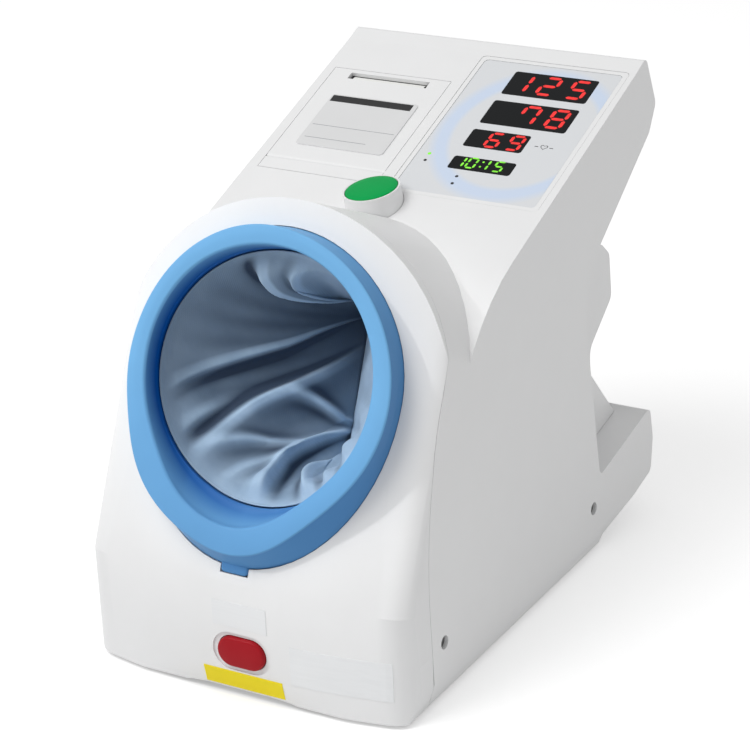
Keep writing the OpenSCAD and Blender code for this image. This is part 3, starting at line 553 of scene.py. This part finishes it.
WALL_FOOT = -15.5  # where the ring's wall starts to lean towards the face
FACE_ROUND = 1.4  # radius of the round at the face's edge
FACE_FALL = 0.8  # how far the face falls inwards to the lip
LIP_ROUND = 2.4
THROAT_R = 81.5  # bore of the ring
THROAT_DEPTH = 18.8  # of the throat below the lip, where the scoop is deepest
SHALLOWER = 8.6  # how much less deep it is on the upper left side
SHALLOW_TURN = math.radians(155.0)


def shallow_side(angle):
    """1 at the upper left side of the ring, falling as a cosine to 0 a quarter turn away."""
    return np.clip(np.cos(angle - SHALLOW_TURN), 0.0, 1.0)


def ring_points():
    """The ring as sections round the tunnel, each row one line of the section carried all round at
    a distance r from the axis. The face's edge and the lip follow the lists above. The foot is an
    ellipse, r = 1 / hypot(c / 93.5, s / 120) below and 95.5 above, with c and s the cosine and
    sine of the angle. The scoop falls from the lip to the throat as a quarter ellipse."""
    angle = np.linspace(0.0, 2 * math.pi, 288, endpoint=False)
    cos, sin = np.cos(angle), np.sin(angle)
    foot = 1.0 / np.hypot(cos / 93.5, sin / np.where(sin < 0, 120.0, 95.5))
    face = smooth_round(angle, FACE_AT, FACE_R)
    lip = smooth_round(angle, LIP_AT, LIP_R)
    quarter = np.linspace(0.0, math.pi / 2, 6)
    rows = [(foot, -26.0), (foot, -20.0), (foot, WALL_FOOT)]
    for share in (0.25, 0.5, 0.75, 0.95, 1.0):
        leaning = foot * (1 - share) + face * share
        rows.append((leaning, WALL_FOOT - (WALL_FOOT + FACE_ROUND) * share))
    wall_rows = len(rows)
    for q in quarter[1:]:
        rows.append((face - FACE_ROUND * (1 - math.cos(q)), FACE_ROUND * (math.sin(q) - 1)))
    for share in (0.2, 0.4, 0.6, 0.8):
        rise = 0.5 * math.sin(math.pi * share) - FACE_FALL * share
        across = (face - FACE_ROUND) * (1 - share) + (lip + LIP_ROUND) * share
        rows.append((across, rise))
    for q in quarter:
        drop = LIP_ROUND * (1 - math.cos(q))
        rows.append((lip + LIP_ROUND * (1 - math.sin(q)), -FACE_FALL - drop))
    scoop_from = len(rows)
    lip_w = -FACE_FALL - LIP_ROUND
    depth = THROAT_DEPTH - SHALLOWER * shallow_side(angle)
    for q in np.linspace(0.0, math.pi / 2, 18)[1:]:
        near = (1 - math.cos(q)) ** 0.8
        rows.append((lip * (1 - near) + THROAT_R * near, lip_w - depth * math.sin(q)))
    bore = np.full_like(angle, THROAT_R)
    rows += [(bore, -25.0), (bore, -38.0), (bore + 6.5, -38.0), (bore + 6.5, -26.0)]
    points = np.stack([in_tunnel(r * cos, r * sin, w) for r, w in rows])
    return points, painted_shade_round_ring(angle, len(rows), wall_rows, scoop_from)


def painted_shade_round_ring(angle, rows, wall_rows, scoop_from):
    """How much painted shade the ring's points get, 0 to 1: in the scoop, more towards the throat
    and on the left; on the wall, up to a half at the lower right; on the face, a little below."""
    row = np.arange(rows)[:, None]
    left = np.clip(np.cos(angle - math.radians(170)), 0.0, 1.0)
    into = np.clip((row - scoop_from + 2) / 13.0, 0.0, 1.0) ** (1.3 - 0.95 * left)
    side = 0.62 + 0.38 * np.clip(np.cos(angle - math.radians(178)), 0.0, 1.0) ** 0.6
    wall = 0.50 * (row < wall_rows) * (0.5 + 0.5 * np.cos(angle + math.radians(35)))
    face_low = 0.22 * (row >= wall_rows) * np.clip(-np.sin(angle), 0.0, 1.0)
    return np.maximum(np.maximum(into * side, wall), face_low)


def give_painted_shade(piece, share):
    """Stores the painted shade of each point of a piece, 0 to 1, which its material mixes into its
    colour.
    """
    layer = piece.data.attributes.new("painted_shade", "FLOAT", "POINT")
    layer.data.foreach_set("value", np.ascontiguousarray(share, np.float32).ravel())


ring_spots, ring_painted_shade = ring_points()
ring_skin = grid_piece(
    "arm_ring_skin",
    ring_spots,
    "monitor",
    "blue_plastic",
    along=True,
    replaces=("arm_ring",),
    merge=False,
)
# Painted shade on the ring: its colour darkens towards a deep blue by these shares.
give_painted_shade(ring_skin, ring_painted_shade)
tab_x, tab_v, tab_w = crowned_plate(9.9, 6.7, 3.2, -23.0, -13.4, 2.0)
ring_tab = grid_piece(
    "ring_release_tab",
    in_tunnel(tab_x + TAB_AT[0], tab_v + TAB_AT[1], tab_w),
    "monitor",
    "blue_plastic",
)
# Painted shade on the release tab, which sits in the shadow under the ring.
give_painted_shade(ring_tab, np.full(len(ring_tab.data.vertices), 0.45))

# ---------------------------------------------------------------- cuff

PILLOW = 0.5 * (1 - np.cos(np.linspace(0.0, math.pi, 25)))  # shares of its length, 0 to 1
BLADDER_BACK = -158.5
BLADDER_LONG = 100.0
BLADDER_R = 80.5  # of its inner side at both ends


def bladder_points():
    """The slack air cuff as a ring of twelve pillows. Its section runs along the tube wall and back
    along a bowed inner side, whose radius falls by a bow of 1 - (2s - 1)^4 over the length and
    between the twelve welds round the ring."""
    angle = np.linspace(0.0, 2 * math.pi, 240, endpoint=False)
    welds = np.abs(np.sin(6.0 * angle)) ** 0.6
    depth = BLADDER_BACK + BLADDER_LONG * PILLOW
    bow = (1 - (2 * PILLOW - 1) ** 4)[:, None]
    inner = BLADDER_R - bow * (6.0 + 6.5 * welds)
    outer = np.broadcast_to(BLADDER_R + 0.5 + 5.2 * bow**0.5, inner.shape)
    radius = np.concatenate([inner, outer[::-1]])
    depth = np.concatenate([depth, depth[::-1]])[:, None]
    return in_tunnel(radius * np.cos(angle), radius * np.sin(angle), depth)


bladder = grid_piece(
    "air_bladder",
    bladder_points(),
    "monitor",
    "cuff_rubber",
    along=True,
    replaces=("air_cuff",),
    crease=180.0,
)

# Folds of the liner: shares of the way in and the angles of the ridge there, in degrees, heights
# in mm at the same places, and widths in degrees on the side of the smaller angle and the other.
# Angles go on past 360.
FOLDS = (
    ((0.0, 0.1, 0.3, 0.5, 0.7, 0.9), (104, 113, 121, 123, 121, 110),
     (0, 13, 17, 15, 9, 0), 34, 2.6),
    ((0.0, 0.1, 0.3, 0.5, 0.7, 0.9), (80, 92, 101, 103, 103, 100), (0, 5, 7, 5, 3, 0), 9, 2.6),
    ((0.0, 0.1, 0.25, 0.45, 0.65, 0.85, 1.0), (196, 192, 190, 189, 189, 181, 170),
     (0, 4, 7, 9, 9, 5, 0), 40, 2.6),
    ((0.0, 0.15, 0.33, 0.45, 0.6, 0.8, 1.0), (229, 226, 222, 220, 222, 224, 224),
     (0, 7, 10, 12, 10, 5, 0), 3.0, 13),
    ((0.0, 0.1, 0.2, 0.35), (217, 215, 213, 212), (0, 3, 3, 0), 6, 2.5),
    ((0.1, 0.2, 0.33, 0.48, 0.6), (229, 232, 238, 253, 262), (0, 4, 6, 4, 0), 4, 5),
    ((0.55, 0.69, 0.79, 0.9, 1.0), (222, 234, 250, 265, 279), (0, 8, 9, 5, 0), 5, 5),
    ((0.0, 0.2, 0.36, 0.5), (249, 251, 257, 265), (0, 5, 4, 0), 7, 3.5),
    ((0.0, 0.12, 0.26, 0.46, 0.68, 0.85, 1.0), (271, 270, 266, 261, 267, 277, 286),
     (0, 10, 14, 15, 12, 6, 0), 8, 2.8),
    ((0.0, 0.12, 0.32, 0.46, 0.56, 0.8), (299, 296, 287, 286, 294, 300),
     (0, 11, 13, 9, 5, 0), 3, 9),
    ((0.0, 0.1, 0.25, 0.4), (310, 310, 311, 312), (0, 8, 7, 0), 2.5, 7),
    ((0.0, 0.15, 0.4, 0.7, 1.0), (326, 326, 328, 330, 332), (0, 8, 8, 3, 0), 6, 9),
    ((0.0, 0.2, 0.5, 0.8, 1.0), (346, 347, 349, 350, 350), (0, 5, 5, 2, 0), 5, 8),
    ((0.0, 0.3, 0.6, 1.0), (372, 372, 373, 374), (0, 4, 4, 0), 9, 8),
)
# Slack bulges near the rim: angle, height, spread in degrees, share of the way in, spread of that
BULGES = (
    (205.0, 3.0, 12.0, 0.12, 0.10),
    (336.0, 5.0, 10.0, 0.30, 0.14),
    (262.0, 5.0, 12.0, 0.14, 0.10),
)
# Where the cloth comes together on the slit: v in mm by angle round the throat in degrees
GATHER_ANGLES = (-50.0, -20.0, 0.0, 25.0, 70.0, 100.0, 185.0, 223.0, 262.0, 296.0, 310.0)
GATHER_HEIGHTS = (-35.0, -24.0, -4.0, 22.0, 50.0, 56.0, 46.0, 28.0, -13.0, -33.0, -35.0)


def eased(share, shares, values):
    """Values between those of a list, with the corners at its entries rounded over 0.06."""
    steps = np.linspace(-0.06, 0.06, 7)
    return np.mean([np.interp(share + step, shares, values) for step in steps], axis=0)


def fold_heights(angle, share):
    """Sum of the folds and the bulges. Across a fold it is exp(1 - hypot(1, 1.6 d)), with d the
    angle from the ridge over the width on that side; along it, the height follows its list. The
    bulges are Gaussian."""
    total = np.zeros(np.broadcast_shapes(angle.shape, share.shape))
    for shares, ridge, heights, before, after in FOLDS:
        at = eased(share, shares, ridge)
        off = (np.degrees(angle) - at + 180.0) % 360.0 - 180.0
        across = np.exp(1.0 - np.hypot(1.0, 1.6 * off / np.where(off < 0, before, after)))
        tall = eased(share, shares, heights)
        total = total + tall * across
    for at, height, spread, peak, reach in BULGES:
        off = (np.degrees(angle) - at + 180.0) % 360.0 - 180.0
        bump = np.exp(-((off / spread) ** 2) - ((share - peak) / reach) ** 2)
        total = total + height * bump * np.clip(share / 0.03, 0.0, 1.0)
    wave = np.sin(9.0 * angle + 7.0 * share) + 0.7 * np.sin(23.0 * angle - 11.0 * share)
    total = total + 0.45 * wave * np.sin(math.pi * share) * (1.0 - share)
    return total * np.sin(0.5 * math.pi * np.clip(share / 0.09, 0.0, 1.0)) ** 2


RIM_R = 80.3  # front edge of the sleeve, in the ring's throat
RIM_AT = -23.8
SLIT_X = 19.5
SLIT_HALF = 0.9  # half the width that the slit stands open
SLIT_AT = -100.0
TAIL_R = 61.5  # rear edge of the sleeve
TAIL_AT = -157.0
FRONT_SHARE = 0.6  # of the sleeve's rows lie in front of the slit


def liner_points():
    """A sleeve of cloth that hangs shut. From the throat of the ring it narrows to an upright slit
    near the right side, 76 mm further in, where its points gather as the two lists above say, and
    it opens again to the rear end of the cuff. Folds stand on its inner side, along its normal.
    The last result is painted shade for each point, 0 to 1: more towards the slit, on the left
    and in the hollows between folds, and 0.8 behind the slit."""
    around, along = 480, 150
    angle = np.linspace(0.0, 2 * math.pi, around, endpoint=False)[None, :]
    share = np.linspace(0.0, 1.0, along)[:, None]
    turn = (np.degrees(angle) + 50.0) % 360.0 - 50.0
    gathered = np.interp(turn, GATHER_ANGLES, GATHER_HEIGHTS)
    slit_x = SLIT_X + SLIT_HALF * np.cos(angle)
    front = share < FRONT_SHARE
    near = np.where(front, share / FRONT_SHARE, (1.0 - share) / (1.0 - FRONT_SHARE))
    draw = np.where(front, near**1.08, 0.5 - 0.5 * np.cos(math.pi * near))
    wide = np.where(front, RIM_R, TAIL_R)
    x = wide * np.cos(angle) * (1 - draw) + slit_x * draw
    v = wide * np.sin(angle) * (1 - draw) + gathered * draw
    rim = RIM_AT + SHALLOWER * shallow_side(angle)
    front_w = rim + (SLIT_AT - rim) * near**0.95
    w = np.where(front, front_w, TAIL_AT + (SLIT_AT - TAIL_AT) * near)
    points = np.stack(np.broadcast_arrays(x, v, w), axis=-1)
    round_step = np.roll(points, -1, axis=1) - np.roll(points, 1, axis=1)
    inward_step = np.gradient(points, axis=0)
    normal = np.cross(inward_step, round_step)
    normal /= np.linalg.norm(normal, axis=-1, keepdims=True) + 1e-9
    height = fold_heights(angle, np.where(front, near, 0.0)) + np.where(
        front, 0.0, 0.8 * np.sin(16.0 * angle) * np.sin(math.pi * near)
    )
    points = points - normal * height[..., None]
    # Painted shade: a base on the upper left, growing towards the slit and on the left, darker in
    # the hollows between folds, and 0.8 behind the slit.
    left = 0.5 + 0.5 * np.cos(angle - math.radians(180.0))
    hollow = np.roll(height, 9, axis=1) + np.roll(height, -9, axis=1) - 2.0 * height
    above = 0.50 * np.clip(np.cos(angle - math.radians(170.0)), 0.0, 1.0) ** 0.7
    painted_shade = np.where(front, above + (1.0 - above) * near**0.55 * (0.02 + 0.98 * left**1.2), 0.8)
    painted_shade = np.clip(painted_shade + 0.06 * np.where(front, hollow, 0.0), 0.0, 1.0)
    return points[..., 0], points[..., 1], points[..., 2], painted_shade


liner_x, liner_v, liner_w, liner_painted_shade = liner_points()
liner = grid_piece(
    "liner_sleeve",
    in_tunnel(liner_x, liner_v, liner_w),
    "monitor",
    "liner_cloth",
    replaces=("cuff_liner",),
    merge=False,
    crease=180.0,
)
# Painted shade on the cloth, from the shares that liner_points gives.
give_painted_shade(liner, liner_painted_shade)
layer = liner.data.uv_layers.new(name="cloth")
corner_of = np.zeros(len(liner.data.loops), np.int32)
liner.data.loops.foreach_get("vertex_index", corner_of)
lay_flat = np.stack([liner_x / 1000.0, (liner_v - liner_w) / 1000.0], axis=-1).reshape(-1, 2)
layer.data.foreach_set("uv", lay_flat[corner_of].astype(np.float32).ravel())
thick = liner.modifiers.new("cloth_thickness", "SOLIDIFY")
thick.thickness = 0.0008
thick.offset = 0.0

# ---------------------------------------------------------------- buttons

dome = [(17.2 * s, -0.15 - 0.75 * s * s) for s in (0.0, 0.25, 0.5, 0.75, 1.0)]
cap_profile = dome + [(17.6, -1.1), (17.85, -1.5), (17.9, -2.0), (17.9, -4.0), (4.0, -4.0)]
cap_profile += [(4.0, -12.2), (0.0, -12.2)]
grid_piece(
    "start_button_cap",
    at_start(*turned(cap_profile)),
    "start_key",
    "green_button",
    replaces=("start_button",),
)
stop_x, stop_y, stop_z = crowned_plate(17.5, 10.5, 10.49, -9.0, 2.6, 1.8, 0.7)
grid_piece(
    "stop_button_cap",
    at_stop(stop_x, stop_y, stop_z),
    "stop_key",
    "red_button",
    replaces=("stop_button",),
)
grid_piece(
    "stop_button_stem",
    at_stop(*turned([(0.0, -8.6), (4.0, -8.6), (4.0, -13.0), (0.0, -13.0)], 48)),
    "stop_key",
    "red_button",
)

# ---------------------------------------------------------------- display

SEGMENTS = {  # which of top, upper right, lower right, foot, lower left, upper left, middle glow
    "0": "abcdef",
    "1": "bc",
    "2": "abged",
    "5": "afgcd",
    "6": "afgecd",
    "7": "abcf",
    "8": "abcdefg",
    "9": "abcdfg",
}


def segment_outlines(digit, left, foot, wide, high, stroke):
    """Six-cornered bars of one digit of seven segments, leaning a little to the right."""
    half = high / 2
    ends = {
        "a": ((0, high), (wide, high)),
        "b": ((wide, high), (wide, half)),
        "c": ((wide, half), (wide, 0)),
        "d": ((0, 0), (wide, 0)),
        "e": ((0, half), (0, 0)),
        "f": ((0, high), (0, half)),
        "g": ((0, half), (wide, half)),
    }
    outlines = []
    for name in SEGMENTS[digit]:
        start, end = (np.array(p, float) for p in ends[name])
        along = (end - start) / np.linalg.norm(end - start)
        side = np.array([-along[1], along[0]]) * stroke / 2
        start, end = start + along * stroke * 0.28, end - along * stroke * 0.28
        tuck = along * stroke / 2
        near_side = [start, start + tuck - side, end - tuck - side]
        far_side = [end, end - tuck + side, start + tuck + side]
        corners = np.array(near_side + far_side)
        corners[:, 0] += left + corners[:, 1] * 0.07
        corners[:, 1] += foot
        outlines.append(corners)
    return outlines


def dot(x, v, radius, count=20):
    """A round mark."""
    angle = np.linspace(0.0, 2 * math.pi, count, endpoint=False)
    return np.stack([x + radius * np.cos(angle), v + radius * np.sin(angle)], axis=-1)


def bar(x0, x1, v0, v1):
    """A rectangular mark."""
    return [(x0, v0), (x1, v0), (x1, v1), (x0, v1)]


GLASS = -0.45  # top of the windows and of the film, below the panel
# Digits of each reading, x of their left sides, v of their feet, width, height and stroke
READINGS = (
    ("125", (31.5, 52.5, 74.5), -34.8, 11.0, 18.6, 2.6),
    ("78", (52.5, 74.0), -68.2, 11.0, 18.6, 2.6),
    ("69", (42.0, 58.0), -96.4, 8.6, 14.6, 2.2),
)
CLOCK = ("1015", (30.5, 39.4, 48.6, 59.4), -120.2, 5.8, 10.2, 1.5)


def reading_outlines(digits, lefts, *sizes):
    """Bars of all the digits of one reading."""
    bars = []
    for digit, left in zip(digits, lefts):
        bars += segment_outlines(digit, left, *sizes)
    return bars


red_bars = [outline for reading in READINGS for outline in reading_outlines(*reading)]
colon = [dot(50.2, -112.6, 0.8), dot(49.8, -117.6, 0.8)]
green_bars = reading_outlines(*CLOCK) + colon
prisms("digits_red", red_bars, GLASS + 0.02, GLASS + 0.08, lit_red, "dark_window")
prisms("digits_green", green_bars, GLASS + 0.02, GLASS + 0.08, lit_green, "dark_window")
dark_dots = [dot(8.9, -118.6, 1.15), dot(38.6, -130.3, 1.15), dot(39.0, -137.9, 1.15)]
prisms("lamp_dots", dark_dots, GLASS, GLASS + 0.1, print_black, "dark_window")
prisms("lamp_dot_lit", [dot(8.6, -111.4, 1.25)], GLASS, GLASS + 0.12, lit_green, "dark_window")


def heart_outline():
    """A heart: x = 16 sin^3 t, v = 13 cos t - 5 cos 2t - 2 cos 3t - cos 4t, scaled."""
    t = np.linspace(0.0, 2 * math.pi, 40, endpoint=False)
    x = 16 * np.sin(t) ** 3
    v = 13 * np.cos(t) - 5 * np.cos(2 * t) - 2 * np.cos(3 * t) - np.cos(4 * t)
    return x, v


def heart_frame(name):
    """A heart as a flat band: an outer and an inner outline joined as a closed strip."""
    x, v = heart_outline()
    rows = [(0.17, GLASS), (0.17, GLASS + 0.1), (0.14, GLASS + 0.1), (0.14, GLASS)]
    points = np.stack([on_panel(84.0 + x * s, -89.2 + v * s, n) for s, n in rows])
    return grid_piece(name, points, "monitor", "grey_overlay", along=True, finish=print_black)


heart_frame("pulse_heart")
pulse_ticks = [bar(77.2, 79.8, -89.6, -89.1), bar(88.2, 90.8, -89.6, -89.1)]
prisms("pulse_ticks", pulse_ticks, GLASS, GLASS + 0.1, print_black, "grey_overlay")

# ---------------------------------------------------------------- printer label

PAD_AT = (-57.5, -92.75)  # x and v of its middle
PAD_TOP = 0.8
INK = 0.05  # how far print stands off the pad
pad_x, pad_v, pad_n = crowned_plate(34.5, 28.75, 3.0, 0.0, PAD_TOP, 0.35)
grid_piece(
    "printer_label_pad",
    on_panel(pad_x + PAD_AT[0], pad_v + PAD_AT[1], pad_n),
    "printer_door",
    "grey_label",
    replaces=("printer_label",),
)
prisms(
    "label_heading_bar",
    [bar(-90.4, -26.4, -72.2, -65.4)],
    PAD_TOP,
    PAD_TOP + INK,
    print_black,
    "grey_label",
    body="printer_door",
)
prisms(
    "label_rules",
    [bar(-89.5, -25.0, -99.2, -98.8), bar(-88.5, -40.0, -113.2, -112.8)],
    PAD_TOP,
    PAD_TOP + INK,
    print_grey,
    "grey_label",
    body="printer_door",
)

PAPER_WAY = np.array(  # v and n of the paper's free end, from the platen up into the slot
    [(-35.35, -12.0), (-35.4, -9.0), (-36.2, -6.6), (-37.5, -4.6), (-38.3, -3.2), (-39.6, -2.2),
     (-41.8, -1.8), (-44.1, -1.9)]
)


def paper_outline():
    """Both sides of the paper, 0.06 mm off its way along the way's normals, joined at the ends."""
    step = np.gradient(PAPER_WAY, axis=0)
    side = np.stack([-step[:, 1], step[:, 0]], axis=-1)
    side *= 0.06 / np.linalg.norm(side, axis=1, keepdims=True)
    return np.concatenate([PAPER_WAY - side, (PAPER_WAY + side)[::-1]])


def across_slot(v, n, x):
    """The panel with the slot's length as the third way."""
    return on_panel(x, v, n)


prisms("paper_end", [paper_outline()], -88.0, -31.0, FINISHES["paper"], "paper", place=across_slot)

# ---------------------------------------------------------------- floor and light


def set_floor():
    """A white floor that shows white to the camera and keeps a soft shadow."""
    finish, tree, shader, add = new_finish("floor_white")
    shader.inputs["Base Color"].default_value = (0.86, 0.86, 0.86, 1.0)
    shader.inputs["Roughness"].default_value = 0.9
    shader.inputs["Specular IOR Level"].default_value = 0.0
    shader.inputs["Emission Color"].default_value = (1.0, 1.0, 1.0, 1.0)
    rays = add("ShaderNodeLightPath")
    seen = add("ShaderNodeMath", operation="MAXIMUM")
    tree.links.new(rays.outputs["Is Camera Ray"], seen.inputs[0])
    tree.links.new(rays.outputs["Is Glossy Ray"], seen.inputs[1])
    lift = add("ShaderNodeMath", operation="MULTIPLY")
    lift.inputs[1].default_value = 0.36
    tree.links.new(seen.outputs["Value"], lift.inputs[0])
    tree.links.new(lift.outputs["Value"], shader.inputs["Emission Strength"])
    mesh = bpy.data.meshes.new("floor")
    edge = 12.0
    corners = [(-edge, -edge, 0), (edge, -edge, 0), (edge, edge, 0), (-edge, edge, 0)]
    mesh.from_pydata(corners, [], [(0, 1, 2, 3)])
    mesh.materials.append(finish)
    floor = bpy.data.objects.new("floor", mesh)
    bpy.context.scene.collection.objects.link(floor)


def set_sky():
    """A plain pale sky, white where the camera sees it."""
    world = bpy.data.worlds.new("pale_sky")
    bpy.context.scene.world = world
    world.use_nodes = True
    sky = world.node_tree
    background = sky.nodes["Background"]
    background.inputs["Color"].default_value = (1.0, 1.0, 1.0, 1.0)
    rays = sky.nodes.new("ShaderNodeLightPath")
    seen = sky.nodes.new("ShaderNodeMath")
    seen.operation = "MAXIMUM"
    sky.links.new(rays.outputs["Is Camera Ray"], seen.inputs[0])
    sky.links.new(rays.outputs["Is Transmission Ray"], seen.inputs[1])
    level = sky.nodes.new("ShaderNodeMapRange")
    level.inputs["To Min"].default_value = 0.60
    level.inputs["To Max"].default_value = 1.0
    sky.links.new(seen.outputs["Value"], level.inputs["Value"])
    sky.links.new(level.outputs["Result"], background.inputs["Strength"])


MONITOR_MIDDLE = Vector((0.0, 0.0, 0.17))


def add_lamp(name, at, watts, size):
    """A square area lamp, turned to the middle of the monitor."""
    data = bpy.data.lights.new(name, "AREA")
    data.energy = watts
    data.size = size
    lamp = bpy.data.objects.new(name, data)
    aim = MONITOR_MIDDLE - Vector(at)
    lamp.rotation_euler = aim.to_track_quat("-Z", "Y").to_euler()
    lamp.location = at
    bpy.context.scene.collection.objects.link(lamp)


def add_spot(name, at, aim_at, watts, spread, size):
    """A soft narrow lamp with a spread in degrees, which reaches into the arm opening only."""
    data = bpy.data.lights.new(name, "SPOT")
    data.energy = watts
    data.shadow_soft_size = size
    data.spot_size = math.radians(spread)
    data.spot_blend = 0.7
    lamp = bpy.data.objects.new(name, data)
    lamp.rotation_euler = (Vector(aim_at) - Vector(at)).to_track_quat("-Z", "Y").to_euler()
    lamp.location = at
    bpy.context.scene.collection.objects.link(lamp)


set_floor()
set_sky()
add_lamp("key_lamp", (-0.75, -1.15, 2.20), 28.0, 1.4)
add_spot("opening_lamp", (-1.00, -0.97, 1.37), (0.014, -0.130, 0.170), 170.0, 4.6, 0.12)
bpy.context.scene.view_settings.view_transform = "Standard"
